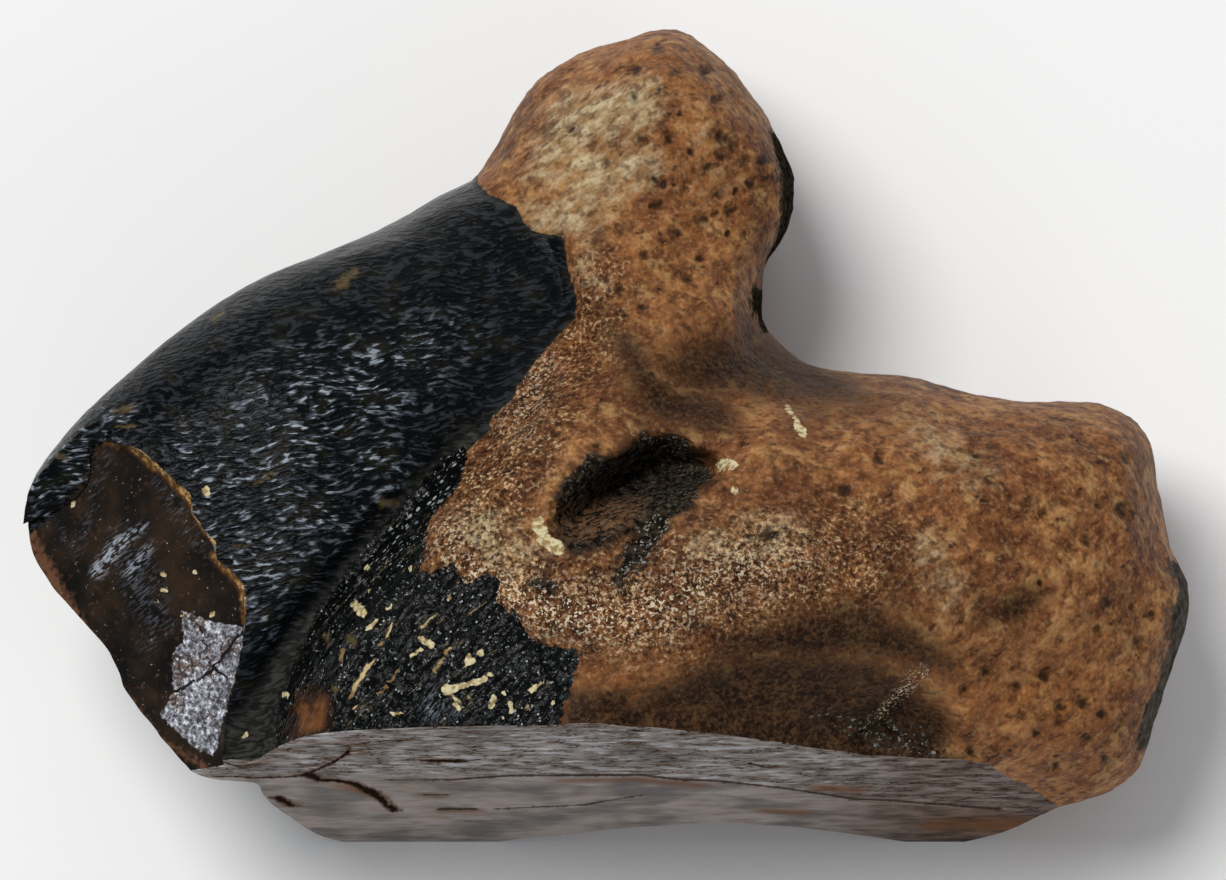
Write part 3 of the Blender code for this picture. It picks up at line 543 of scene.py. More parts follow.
def marked(places):
    lines = strokes(facet_view(places), FACET_CRACK + FACET_LINE) > 0
    return lines & (places[:, 1] < LOW[1] + FLAT)


def shown(places, side, facing):
    return (facing > TURNED) | marked(places)


def detailed(places, side, facing):
    ragged_edge = np.abs(outline_depth(side, FRONT_ROOT)) < EDGE_BAND
    crystals = strokes(side, CREAM + VEINS + TAN + GOLD + CRACKS + PITS) > 0
    glint_wrinkles = (strokes(side, GLINT_WRINKLES) > STRONG_GLINT_WRINKLES) & (outline_depth(side, CHIP) < 0)
    return ((facing > TURNED) & (ragged_edge | crystals | glint_wrinkles)) | marked(places)


form = bmesh.new()
form.from_mesh(skin.data)
refine(form, shown)
refine(form, detailed)
form.to_mesh(skin.data)
form.free()

# %% [markdown]
# ## Places and depths of every vertex
#
# From here on every vertex is a row of an array. The outlines are projected onto the tooth along w, so a
# vertex on the far side must not catch what is drawn on the near side: `facing` says how far the surface
# turns to the viewer of the side view, and outlines count only where it does.

# %% Places, directions and depths
EDGE_ON = 0.2  # the near side ends where the surface faces away from w by this much
TURNING = 0.25  # the front's outline gives way to the back's between this and its negative
OUTSIDE = -1

mesh = skin.data
count = len(mesh.vertices)


def rows(collection, name):
    values = np.zeros(3 * count)
    collection.foreach_get(name, values)
    return values.reshape(-1, 3)


places = rows(mesh.vertices, "co") / MM
normals = rows(mesh.vertex_normals, "vector")
side = side_view(places)
facing = normals @ UPRIGHT[:, 2]


def step(value, low, high):
    """0 below low, 1 above high, and a smooth rise between."""
    share = np.clip((value - low) / (high - low), 0, 1)
    return share * share * (3 - 2 * share)


def near_side(outline):
    return np.where(facing > -EDGE_ON, outline_depth(side, outline), OUTSIDE)


front = step(facing, -TURNING, TURNING)
root = front * outline_depth(side, FRONT_ROOT) + (1 - front) * outline_depth(side, BACK_ROOT)
chip, silver, lobe, amber, pit = (near_side(outline) for outline in (CHIP, SILVER, LOBE, AMBER, PIT))
flat = (places[:, 1] < LOW[1] + FLAT) | (places[:, 2] < FLAT)
print("vertices:", count, "of which flat:", flat.sum())

# %% [markdown]
# ## Relief
#
# The relief moves each vertex along its normal by a tenth of a millimetre or so, zone by zone. Sculpting by
# hand would look the same but could not be rebuilt from a script. Noise does the repeating part: drawn out
# along u it gives the enamel's wrinkles, as cells it gives the lobe's pebbles, and rounded it gives the
# root's lumps. What lies flat stays flat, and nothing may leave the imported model's box.

# %% Noise on the vertices
def ripple(chosen, scales, shift=0.0):
    """Smooth noise from -1 to 1 on the chosen vertices, in waves as long as the scales along u, v and w."""
    values = np.zeros(count)
    values[chosen] = [noise.noise(Vector(place)) for place in swayed[chosen] / scales + shift]
    return values


def pebbles(chosen, size):
    """Rounded grains on the chosen vertices: 1 in the middle of each, 0 between them."""
    values = np.zeros(count)
    nearest = np.array([noise.voronoi(Vector(place))[0][0] for place in side[chosen] / size])
    values[chosen] = 1 - np.clip(nearest * 1.6, 0, 1)
    return values


everywhere = np.ones(count, bool)
swayed = side  # the wrinkles' own sway is read from the plain places
sway = 0.3 * ripple(everywhere, (1.7, 1.7, 1.7), 3)
swayed = side + np.outer(sway, (0, 1, 0))
print("wrinkles sway by up to", np.abs(sway).max().round(2), "mm")

# %% Zones and strokes on the vertices
WOBBLE = 0.1  # how far the edge of a speck or a pit wanders
WOBBLE_WAVE = (0.35, 0.35, 0.35)

on_root = step(root, -0.05, 0.05)
on_lobe = step(lobe, -0.2, 0.2) * (1 - on_root)
on_chip = step(chip, -0.04, 0.04)
on_enamel = (1 - on_root) * (1 - on_lobe) * (1 - on_chip)
valley, glint_wrinkles, gritty = (strokes(side, paths) for paths in (VALLEY, GLINT_WRINKLES, GRITTY))
wobbly = side + np.outer(WOBBLE * ripple(everywhere, WOBBLE_WAVE, 11), (1, 0, 0))
wobbly += np.outer(WOBBLE * ripple(everywhere, WOBBLE_WAVE, 23), (0, 1, 0))
pits = np.where(facing > 0, strokes(wobbly, PITS), 0)
print("in a vessel pit:", (pits > 0).sum(), "vertices")

# %% Relief of each zone
RUN = (0.9, 0.27, 0.9)  # how long, wide and deep a wrinkle of the enamel is
BROAD_RUN = (1.8, 0.5, 1.4)
WRINKLE_HEIGHT = 0.034
PEBBLE = 0.3  # size of the lobe's pebbles and of the root's grit
PEBBLE_HEIGHT = 0.05
GRIT_HEIGHT = 0.035
LOBE_LUMP = (0.5, 0.5, 0.5)
LOBE_LUMP_HEIGHT = 0.02
SMALL_LUMP, BIG_LUMP = (0.45, 0.34, 0.4), (1.2, 0.8, 1.0)  # sizes along u, v and w
SMALL_LUMP_HEIGHT, BIG_LUMP_HEIGHT = 0.034, 0.09
SMOOTHED = 0.85  # the share of the wrinkles that is missing in the valley
HEIGHT_WITHOUT_GLINTS = 0.45  # the share of their height that they have where no glints are painted on them
ROOT_SWELL = 0.05  # how much thicker the root's cement is
SWELL_FROM_EDGE = 0.25  # this far in from its edge
GLASS_WAVE = (0.7, 0.7, 0.7)  # the chip's broken glass is a little uneven
GLASS_HEIGHT = 0.02
BLOW = (-14.2, 0.4)  # and has faint rings round this place
RING_HEIGHT = 0.012
RING_PACE = 9  # radians of a ring's wave for each mm from the blow

wrinkles = ripple(on_enamel > 0, RUN) + 0.5 * ripple(on_enamel > 0, BROAD_RUN, 7)
relief = WRINKLE_HEIGHT * on_enamel * wrinkles * (1 - SMOOTHED * valley)
relief *= HEIGHT_WITHOUT_GLINTS + (1 - HEIGHT_WITHOUT_GLINTS) * np.clip(glint_wrinkles, 0, 1)
relief += on_lobe * PEBBLE_HEIGHT * pebbles(on_lobe > 0, PEBBLE)
relief += on_lobe * LOBE_LUMP_HEIGHT * ripple(on_lobe > 0, LOBE_LUMP)
relief += on_root * SMALL_LUMP_HEIGHT * ripple(on_root > 0, SMALL_LUMP)
relief += on_root * BIG_LUMP_HEIGHT * ripple(on_root > 0, BIG_LUMP)
relief += on_root * GRIT_HEIGHT * pebbles(on_root > 0, PEBBLE) * np.clip(gritty, 0, 1)
swell = np.exp(-(((root - SWELL_FROM_EDGE) / SWELL_FROM_EDGE) ** 2))
relief += ROOT_SWELL * swell * on_root * (1 - on_chip)
relief -= PIT_DEPTH * np.sqrt(pits)
from_blow = np.hypot(side[:, 0] - BLOW[0], side[:, 1] - BLOW[1])
relief += on_chip * GLASS_HEIGHT * ripple(on_chip > 0, GLASS_WAVE, 5)
relief += on_chip * RING_HEIGHT * np.sin(RING_PACE * from_blow + 2 * sway)
relief[flat] = 0
moved = places + relief[:, None] * normals
print("relief from", relief.min().round(3), "to", relief.max().round(3), "mm")

# %% [markdown]
# At the keel's tip a scrap of enamel is left beside the chip. On the model it ends in a wall as high as the
# chip is deep, but there it is worn down to a thin lip. The lip is a ceiling over the chip's floor, which
# is a plane here: nothing of the scrap may stand higher, and the ceiling rises with the distance from the
# chip.

# %% The worn scrap at the tip
CHIP_FLOOR = (11.78, 0.635, 0.08)  # its w at the origin, and how much it rises for each mm along u and v
LIP = 0.06  # height of the scrap's edge above the floor
LIP_RISE = 0.8  # how much the ceiling rises for each mm away from the chip
TIP_ENDS = (-17.4, -16.2)  # between these two u the wall rises to its full height
FULL_HEIGHT = 3
TIP_FROM = -3.6  # the scrap's lowest v
TIP_TURNED = -0.5  # the scrap's surface faces away from w by no more than this

ceiling = CHIP_FLOOR[0] + side[:, 0] * CHIP_FLOOR[1] + side[:, 1] * CHIP_FLOOR[2]
ceiling += LIP + LIP_RISE * np.maximum(-outline_depth(side, CHIP), 0)
ceiling += FULL_HEIGHT * step(side[:, 0], *TIP_ENDS)
at_tip = (facing > TIP_TURNED) * (side[:, 0] < TIP_ENDS[1]) * (side[:, 1] > TIP_FROM)
too_high = np.maximum(side[:, 2] - ceiling, 0) * at_tip
moved -= np.outer(too_high, UPRIGHT[:, 2])
moved = np.clip(moved, LOW, HIGH)
mesh.vertices.foreach_set("co", (moved * MM).ravel())
mesh.update()
mesh.polygons.foreach_set("use_smooth", np.ones(len(mesh.polygons), bool))
print("worn off at the tip:", too_high.max().round(2), "mm at most")

# %% [markdown]
# ## What the material needs to know
#
# The material reads the zones and strokes as numbers kept on the vertices. Strokes of crystals and pits use
# the wobbly places, so that no speck is round. The mask of the near side fades what would otherwise shine
# through to the back. The painted shade on the knob's side and the slate on the root's end reach round the
# edge, so they have wilder places and a mask of their own, which lets them fade out in patches on the back.

# %% Numbers kept on the vertices
def keep(name, values):
    mesh.attributes.new(name, "FLOAT", "POINT").data.foreach_set("value", values.astype(np.float32))


def on_the_facet(paths):
    return np.where(places[:, 1] < LOW[1] + FLAT, strokes(facet_view(places), paths), 0)


EDGE_WANDER = 0.9  # how far the edge of the painted shade and of the slate wanders
EDGE_WAVE = (1.1, 1.1, 1.1)
FADE_WAVE = (1.2, 1.2, 1.2)

ahead = step(facing, -0.1, 0.2)
wandered_edges = side + np.outer(EDGE_WANDER * ripple(everywhere, EDGE_WAVE, 31), (0, 1, 0))
turned = step(facing + 0.5 * ripple(everywhere, FADE_WAVE, 47), -0.6, 0.0)
clean_edged = {
    "dark": SHADE_AND_DARK_STAINS, "orange": ORANGE, "pale": PALE_AND_HIGHLIGHTS, "glinting": GLINTING, "black_patches_and_shade": BLACK_PATCHES_AND_SHADE,
    "pit_floor": PIT_FLOOR, "bead_glints": BEAD_GLINTS, "hatched": HATCHED, "ruddy": RUDDY, "sheen": SHEEN,
    "glint_streak": GLINT_STREAK, "scuffed": SCUFFED,
}
wobbly_edged = {"cream": CREAM, "veins": VEINS, "tan": TAN, "gold": GOLD, "cracks": CRACKS}
shade_and_slate = {"shaded_side": SHADED_SIDE, "slate": SLATE}
facet_marks = {"facet_crack": FACET_CRACK, "facet_line": FACET_LINE, "facet_stains": FACET_STAINS}
zones = {
    "root": root, "chip": chip, "silver": silver, "lobe": lobe, "amber": amber, "pit": pit, "pits": pits,
    "sway": sway, "valley": valley * ahead, "glint_wrinkles": glint_wrinkles * ahead, "gritty": gritty * ahead,
}
for kinds, drawn_at, mask in (
    (clean_edged, side, ahead),
    (wobbly_edged, wobbly, ahead),
    (shade_and_slate, wandered_edges, turned),
):
    for name, paths in kinds.items():
        keep(name, strokes(drawn_at, paths) * mask)
for name, paths in facet_marks.items():
    keep(name, on_the_facet(paths))
for name, values in zones.items():
    keep(name, values)
mesh.calc_loop_triangles()
print("triangles:", len(mesh.loop_triangles), "and", len(mesh.attributes), "attributes")

# %% [markdown]
# ## Shader sums
#
# A finish is a sum of masks and colours. Written as nodes wired one by one it can't be read, so a small
# class wraps a node's output, and Python's operators add the Math nodes. Colours go through Mix nodes, and
# every other node comes from one method.

# %% The Value class
class Value:
    """One output of a material's nodes; arithmetic on values adds the Math nodes that work it out."""

    tree = None

    def __init__(self, socket):
        self.socket = socket

    @classmethod
    def node(cls, kind, settings=None, sockets=None, out=None):
        """A new node: its settings are set first, then its sockets are filled or linked."""
        made = cls.tree.nodes.new("ShaderNode" + kind)
        for name, setting in (settings or {}).items():
            if name == "stops":
                cls.set_stops(made.color_ramp, setting)
            else:
                setattr(made, name, setting)
        for name, value in (sockets or {}).items():
            socket = made.inputs[name] if isinstance(name, int) else cls.shown(made.inputs, name)
            if isinstance(value, cls):
                cls.tree.links.new(value.socket, socket)
            else:
                socket.default_value = value
        return cls(cls.shown(made.outputs, out)) if made.outputs else None

    @staticmethod
    def set_stops(ramp, stops):
        for n, (position, colour) in enumerate(stops):
            stop = ramp.elements[n] if n < 2 else ramp.elements.new(position)
            stop.position = position
            stop.color = colour

    @staticmethod
    def shown(sockets, name):
        return next(s for s in sockets if s.enabled and name in (None, s.name))

    def maths(self, operation, other):
        return Value.node("Math", {"operation": operation}, {0: self, 1: other})

    def __add__(self, other):
        return self.maths("ADD", other)

    def __mul__(self, other):
        return self.maths("MULTIPLY", other)

    def __sub__(self, other):
        return self.maths("SUBTRACT", other)

    def __rsub__(self, other):
        return Value.node("Math", {"operation": "SUBTRACT"}, {0: other, 1: self})

    __radd__ = __add__
    __rmul__ = __mul__

    def distance(self, other):
        return (self - other).maths("ABSOLUTE", 0.0)

    def between(self, low, high):
        """0 below low, 1 above high, and a smooth rise between; it falls if low is the larger."""
        settings = {"interpolation_type": "SMOOTHSTEP"}
        return Value.node("MapRange", settings, {"Value": self, "From Min": low, "From Max": high})


# %% Colours, ramps and attributes
def srgb(red, green, blue):
    """A colour given as it looks on a screen, from 0 to 255, as the linear light that shaders use."""
    parts = (part / 255 for part in (red, green, blue))
    return (*(p / 12.92 if p < 0.04045 else ((p + 0.055) / 1.055) ** 2.4 for p in parts), 1.0)


def mixed(share, first, second):
    """The first colour where share is 0, the second where it is 1."""
    return Value.node("Mix", {"data_type": "RGBA"}, {"Factor": share, "A": first, "B": second})


def painted(colour, *coats):
    """The colour under its coats; a coat is a share and a colour, and the last one lies on top."""
    for share, coat in coats:
        colour = mixed(share, colour, coat)
    return colour


def ramp(value, *stops):
    return Value.node("ValToRGB", {"stops": stops}, {"Fac": value}, out="Color")


def attribute(name):
    return Value.node("Attribute", {"attribute_name": name}, out="Fac")


# %% [markdown]
# ## Noise in millimetres
#
# All noise is measured in side view millimetres, so a grain on the tooth has the size it is given, and it
# follows the solid: there are no seams, and nothing stretches where the surface turns away. A surface
# carries noise of different shapes, so `waves` stretches and turns the places before the noise is read.

# %% Coordinates and noises
material = bpy.data.materials.new("fossil_tooth")
material.use_nodes = True
Value.tree = material.node_tree
Value.tree.nodes.clear()

model_at = Value.node("TexCoord", out="Object")
to_side_view = {"Location": Vector(ORIGIN) * MM, "Rotation": (LEAN, 0, 0), "Scale": (MM, MM, MM)}
at = Value.node("Mapping", {"vector_type": "TEXTURE"}, {"Vector": model_at, **to_side_view})


def waves(lengths, turn=0.0, place=None):
    """The place measured in waves of these lengths in mm along u, v and w, turned about w by degrees."""
    sockets = {"Vector": place or at, "Rotation": (0, 0, radians(turn)), "Scale": lengths}
    return Value.node("Mapping", {"vector_type": "TEXTURE"}, sockets)


def cloud(place, scale, detail, roughness=0.5, distortion=0.0):
    """Noise from 0 to 1, with scale waves for each unit of the place."""
    sockets = {"Vector": place, "Scale": scale, "Detail": detail}
    sockets.update({"Roughness": roughness, "Distortion": distortion})
    return Value.node("TexNoise", None, sockets, out="Fac")


ragged = cloud(at, 5, 2) - 0.5
glints = cloud(at, 7.6, 1.5, 0.6, 0.6)


def edged(name, raggedness, low, high):
    """The number kept under this name, cut to 0 below low and 1 above high along a ragged edge."""
    return (attribute(name) + raggedness * ragged).between(low, high)


# %% [markdown]
# ## The root's finish
#
# Fossil cement is brown in many browns: iron stained it in clouds, and each half millimetre took the stain
# a little differently. Where it stayed rough, near the enamel, every grain gets a painted highlight on its
# top and painted shade at its foot, so the grit's light and shade are painted as well as raised; raised
# alone, they would vanish in soft light. The colour is built up as a model painter would do it: a cloudy
# ground, and thin coats over it in the order below.

# %% What varies on the root
stain = cloud(at, 0.42, 2, 0.55)
blotch = cloud(waves((0.66, 0.42, 0.6), 32), 1.0, 3, 0.62)
streaky = cloud(waves((0.75, 0.36, 0.7), 30), 1.0, 3, 0.6)
tint = cloud(waves((1.1, 0.6, 0.9), -30), 1.0, 2, 0.6)
fine = cloud(at, 6.6, 2, 0.65)
coarse = cloud(at, 3.0, 1)

grit = attribute("gritty").between(0.0, 1.0)
grit_shade = mixed(blotch.between(0.4, 0.6), srgb(62, 38, 23), srgb(112, 72, 43))
# Painted highlights on the grains' tops, strongest where the cement is gritty.
painted_grain_glints = 0.14 + 0.66 * grit * (0.5 * stain + 0.5 * tint).between(0.38, 0.58)
# A paler tone, partly a painted highlight on the knob and on what stands proud.
pale = (attribute("pale") * 1.2 + 1.1 * (streaky - 0.6) + 0.4 * (blotch - 0.5)).between(0.0, 1.0)
pale_shade = mixed(streaky.between(0.38, 0.7), srgb(150, 122, 84), srgb(204, 186, 148))
# Painted shade in the hollows and under the overhangs, with some darker stain.
dark = (attribute("dark") + 1.0 * (blotch - 0.5) + 0.25 * (fine - 0.5)).between(0.0, 0.8)
dark = dark * attribute("dark").between(0.0, 0.2)
dark_shade = mixed((0.7 * fine + 0.3 * blotch).between(0.4, 0.66), srgb(16, 11, 8), srgb(76, 53, 35))
# Painted glints of light where the root is marked glinting.
painted_root_glints = glints.between(0.55, 0.62) * attribute("glinting")
# Painted shade round the rim of the deep pit.
pit_rim_shade = attribute("pit").between(-0.5, 0.0) * tint.between(0.7, 0.4)
pores = blotch.between(0.38, 0.32) * coarse.between(0.42, 0.52)
vessels = (attribute("pits") + 2.0 * (coarse - 0.5)).between(0.0, 0.9)
vessels = vessels * attribute("pits").between(0.0, 0.25)

# %% Root colours
cement = ramp(
    0.45 * stain + 0.55 * blotch,
    (0.37, srgb(84, 50, 31)),
    (0.46, srgb(120, 77, 46)),
    (0.54, srgb(148, 98, 58)),
    (0.64, srgb(180, 132, 84)),
)
root_colour = painted(
    cement,
    (tint.between(0.48, 0.34) * 0.6, srgb(104, 60, 37)),
    (tint.between(0.54, 0.68) * 0.6, srgb(178, 138, 88)),
    (grit * 0.7, grit_shade),
    (attribute("orange") * 0.5, srgb(160, 102, 56)),
    (pale * 0.85, pale_shade),
    (coarse.between(0.5, 0.3) * 0.62, srgb(70, 41, 25)),
    # painted shade at the foot of each grain
    (fine.between(0.49, 0.37) * (0.2 + 0.65 * grit), srgb(32, 18, 11)),
    # painted highlights on the grains' tops
    (fine.between(0.55, 0.65) * painted_grain_glints, srgb(216, 188, 146)),
    # painted shade in the hollows, partly darker stain
    (dark * 0.93, dark_shade),
    # painted glints
    (painted_root_glints * 0.85, srgb(222, 204, 174)),
    # painted shade round the pit's rim
    (pit_rim_shade * 0.75, srgb(48, 32, 21)),
    (vessels.maths("MAXIMUM", pores * 0.7) * 0.9, srgb(30, 19, 12)),
)

# %% Crystals and the root's shader
crystal = edged("cream", 0.9, 0.3, 0.5)
crystal_shade = mixed((ragged + 0.5).between(0.35, 0.6), srgb(150, 126, 82), srgb(212, 200, 160))
tan = edged("tan", 1.4, 0.1, 0.9) * attribute("tan").between(0.0, 0.1) * 0.65


def with_crystals(colour):
    return painted(colour, (tan, srgb(100, 84, 52)), (crystal, crystal_shade))


def finish(colour, roughness, height, depth, specular):
    """A Principled shader with bumps; height runs over 0 to 1 and depth says how many mm that is."""
    bumps = {"Height": height, "Distance": depth * MM, "Strength": 1.0}
    sockets = {"Base Color": colour, "Roughness": roughness, "Specular IOR Level": specular}
    sockets["Normal"] = Value.node("Bump", None, bumps, out="Normal")
    return Value.node("BsdfPrincipled", None, sockets, out="BSDF")


root_height = fine * (0.25 + 0.55 * grit) + coarse
root_finish = finish(with_crystals(root_colour), 0.5, root_height, 0.13, 0.06)
print("nodes with the root:", len(Value.tree.nodes))

# %% [markdown]
# ## The dull places
#
# In the deep pit, in the black patches beside it and in the pocket under the root, and along the edges that
# the view only grazes, the cement is black or slate grey and has no gloss at all. The black in that pocket
# and along the knob's side that faces away from the light is painted shade. A glossy black edge would
# mirror the floor and turn white, so these have a finish of their own. Their edges break off in crumbs.

# %% Dull black, painted shade, slate and the pit
crumbs = cloud(at, 3.4, 3, 0.7)


def crumbling(name, raggedness, crumbled, low, high):
    """As edged, with crumbs broken off the edge."""
    return (attribute(name) + raggedness * ragged + crumbled * (crumbs - 0.5)).between(low, high)


is_pit = crumbling("pit", 0.4, 0.5, -0.12, 0.12)
# Black patches by the pit, and painted shade in the pocket under the root.
is_black_patch_and_shade = crumbling("black_patches_and_shade", 1.2, 1.2, 0.2, 0.7)
# Painted shade, drawn as black, along the knob's side that faces away from the light.
is_shaded_side = crumbling("shaded_side", 0.8, 1.4, 0.2, 0.65)
is_slate = crumbling("slate", 0.8, 1.4, 0.2, 0.65)
shaded_side_colour = mixed(crumbs.between(0.42, 0.65), srgb(22, 20, 17), srgb(64, 56, 46))
slate_shade = mixed((0.5 * crumbs + 0.5 * blotch).between(0.38, 0.62), srgb(52, 46, 38), srgb(92, 87, 82))
dull_colour = painted(
    mixed(crumbs.between(0.42, 0.62), srgb(20, 17, 14), srgb(58, 50, 40)),
    (crumbs.between(0.38, 0.63) * attribute("pit_floor").between(0.0, 0.7) * 0.85, srgb(112, 80, 54)),
    # painted glints, most of all on the black patches
    (glints.between(0.6, 0.65) * (0.25 + 0.6 * is_black_patch_and_shade), srgb(150, 150, 144)),
    (is_shaded_side, shaded_side_colour),
    (is_slate, slate_shade),
)
dull_finish = finish(dull_colour, 0.75, crumbs, 0.12, 0.0)
print("nodes with the dull places:", len(Value.tree.nodes))

# %% [markdown]
# ## The enamel's finish
#
# Enamel is glossy and almost black, and its wrinkles run along the tooth in short broken waves. Their tops
# carry painted highlights: a bluish grey sheen, and nearly white glints on the middle of the flank. The same
# noise gives a wrinkle's height and both painted highlights on its top, so gloss and colour agree. In the
# valley and beside the root the enamel is quiet: nearly smooth, duller and a little greyer.

# %% Wrinkled enamel
sway_up = Value.node("CombineXYZ", None, {"Y": attribute("sway")})
swayed_at = Value.node("VectorMath", {"operation": "ADD"}, {0: at, 1: sway_up})
wrinkle = cloud(waves((0.44, 0.135, 0.42), 8, swayed_at), 1.0, 1.8, 0.55, 0.4)
flaws = cloud(at, 1.1, 2)
quiet = attribute("valley").between(0.0, 0.6).maths("MAXIMUM", attribute("root").between(-0.3, 0.2))
# Painted sheen and painted glints on the wrinkles' tops.
painted_sheen_tops = attribute("glint_wrinkles").between(-0.7, 1.0) * flaws.between(0.3, 0.46) * (1 - quiet)
painted_glint_tops = attribute("glint_wrinkles").between(0.0, 1.1) * flaws.between(0.36, 0.52) * (1 - quiet)
quiet_shade = mixed(wrinkle.between(0.4, 0.65), srgb(32, 34, 32), srgb(68, 68, 62))
enamel_colour = painted(
    mixed(flaws.between(0.5, 0.74) * 0.7, srgb(7, 10, 12), srgb(30, 28, 20)),
    (wrinkle.between(0.49, 0.61) * painted_sheen_tops * 0.75, srgb(70, 77, 85)),
    (wrinkle.between(0.59, 0.67) * painted_glint_tops * 0.9, srgb(162, 170, 180)),
    (quiet * 0.7, quiet_shade),
)
enamel_height = wrinkle * (1 - 0.6 * quiet)
enamel_finish = finish(with_crystals(enamel_colour), 0.24 + 0.4 * quiet, enamel_height, 0.08, 0.05)
print("nodes with the enamel:", len(Value.tree.nodes))

# %% [markdown]
# ## The lobe's finish
#
# Beside the valley the enamel breaks up into glassy pebbles. Their gloss is partly painted: some have a
# faint painted ring of highlight where their shoulder would catch the light, some a painted glint on top,
# and painted sparkles are scattered over them. Pale threads and wider veins run between them, and where
# the lobe meets the valley the pebbles line up as beads of painted highlight. In the lowest corner the
# enamel is so thin that it looks amber.

# %% What varies on the lobe
is_lobe = edged("lobe", 0.5, -0.15, 0.15)
pebble_at = waves((0.36, 0.27, 0.32), 48)
pebble = Value.node("TexVoronoi", {"feature": "F1"}, {"Vector": pebble_at, "Scale": 1.0}, out="Distance")
thread = cloud(waves((0.9, 0.2, 0.9), 48, swayed_at), 1.0, 2, 0.6)
hatching = thread.distance(0.5).between(0.04, 0.0) * attribute("hatched")
# Painted highlights: rings on the shoulders, glints on top, beads by the valley, scattered sparkles.
painted_ring_highlights = pebble.distance(0.36).between(0.1, 0.01) * thread.between(0.48, 0.62)
painted_dot_glints = pebble.between(0.15, 0.09) * flaws.between(0.42, 0.52)
bead_glints = pebble.between(0.32, 0.2) * attribute("bead_glints")
painted_sparkles = glints.between(0.64, 0.68) * blotch.between(0.44, 0.56)
threads = thread.distance(0.6).between(0.012, 0.0) * flaws.between(0.48, 0.58)
vein_shade = mixed(flaws.between(0.4, 0.6), srgb(126, 100, 64), srgb(196, 174, 128))
amber_shade = painted(
    mixed(flaws.between(0.4, 0.6), srgb(50, 30, 17), srgb(110, 68, 35)),
    (attribute("amber").between(0.55, 0.1) * 0.85, srgb(26, 15, 8)),
)

# %% Pebbly lobe
lobe_colour = painted(
    mixed(thread.between(0.5, 0.7) * 0.4, srgb(5, 7, 7), srgb(36, 39, 39)),
    (hatching * 0.9, srgb(104, 112, 122)),
    (painted_ring_highlights * 0.2, srgb(104, 110, 112)),
    (painted_dot_glints.maths("MAXIMUM", bead_glints) * 0.8, srgb(184, 188, 188)),
    (painted_sparkles * 0.7, srgb(168, 174, 172)),
    (threads * 0.75, srgb(140, 122, 88)),
    (edged("veins", 0.7, 0.3, 0.6), vein_shade),
    (edged("amber", 0.9, -0.12, 0.2), amber_shade),
)
lobe_height = (1 - pebble) + 0.5 * thread + 0.4 * glints
lobe_finish = finish(with_crystals(lobe_colour), 0.2, lobe_height, 0.1, 0.1)
print("nodes with the lobe:", len(Value.tree.nodes))

# %% [markdown]
# ## The chip's finish
#
# Where the keel broke, the chip shows the tooth's inside: dark brown glass with a golden rim, since the
# enamel is thin there and light gets through. Fine scratches rise across it, with a bluish sheen painted
# on them where the chip faces the light, a bright glint streak painted on its upper part and a few
# painted glints. At its lower end lies a silvery facet, crackled like old varnish; its silver is a
# painted reflection of the light, with painted white glints.

# %% Brown glass and its rim
is_chip = edged("chip", 0.08 + 1.4 * attribute("scuffed"), -0.02, 0.02)
smoke = cloud(at, 0.75, 3)
scratches = cloud(waves((0.36, 0.08, 0.3), 38), 1.0, 2, 0.6)
crackle = cloud(at, 5.6, 2, 0.7)
# A painted bluish sheen on the scratches, and a painted glint streak.
sheen = scratches.between(0.5, 0.62) * attribute("sheen").between(0.1, 1.1)
glint_streak = scratches.between(0.46, 0.56) * attribute("glint_streak").between(0.0, 1.0)
gold = attribute("gold") + 0.9 * ragged
glow = gold.between(-0.1, 0.5) * attribute("gold").between(0.0, 0.2)
gilt_shade = mixed(crackle.between(0.42, 0.62), srgb(104, 72, 38), srgb(190, 152, 92))
glass_colour = painted(
    ramp(smoke, (0.34, srgb(12, 10, 8)), (0.5, srgb(25, 19, 13)), (0.68, srgb(48, 35, 23))),
    (sheen * 0.5, srgb(92, 97, 106)),
    (glint_streak * 0.7, srgb(176, 184, 196)),
    (edged("ruddy", 1.8, 0.1, 1.0) * 0.8, srgb(112, 76, 54)),
    (glow * 0.7, srgb(88, 58, 28)),
    (gold.between(0.35, 0.8) * 0.85, gilt_shade),
    # painted glints
    (crackle.between(0.69, 0.72) * 0.6, srgb(170, 158, 146)),
)

# %% The silvery facet
is_silver = edged("silver", 0.25, -0.03, 0.03)
to_edge = {"feature": "DISTANCE_TO_EDGE"}
flakes = Value.node("TexVoronoi", to_edge, {"Vector": at, "Scale": 3.0}, out="Distance")
flake_edges = (0.06 - flakes + 0.5 * (flaws - 0.54) - 0.3 * ragged).between(0.0, 0.05)
# The bright silver is a painted reflection of the light, crackled; its whitest specks are painted glints.
silver_reflection_colour = painted(
    ramp(
        0.75 * crackle + 0.25 * smoke,
        (0.4, srgb(66, 62, 64)),
        (0.48, srgb(112, 112, 118)),
        (0.55, srgb(154, 157, 166)),
        (0.64, srgb(216, 220, 228)),
    ),
    (flaws.between(0.52, 0.64) * 0.5, srgb(124, 98, 80)),
    (flake_edges * 0.85, srgb(46, 40, 40)),
    (crackle.between(0.62, 0.66) * 0.7, srgb(236, 238, 244)),
    (edged("cracks", 0.6, 0.3, 0.6), srgb(28, 22, 22)),
)
chip_colour = mixed(is_silver, glass_colour, silver_reflection_colour)
chip_height = 0.6 * smoke + 0.3 * scratches * (1 - is_silver) + 0.3 * crackle * is_silver
chip_finish = finish(with_crystals(chip_colour), 0.2, chip_height, 0.06, 0.22)
print("nodes with the chip:", len(Value.tree.nodes))

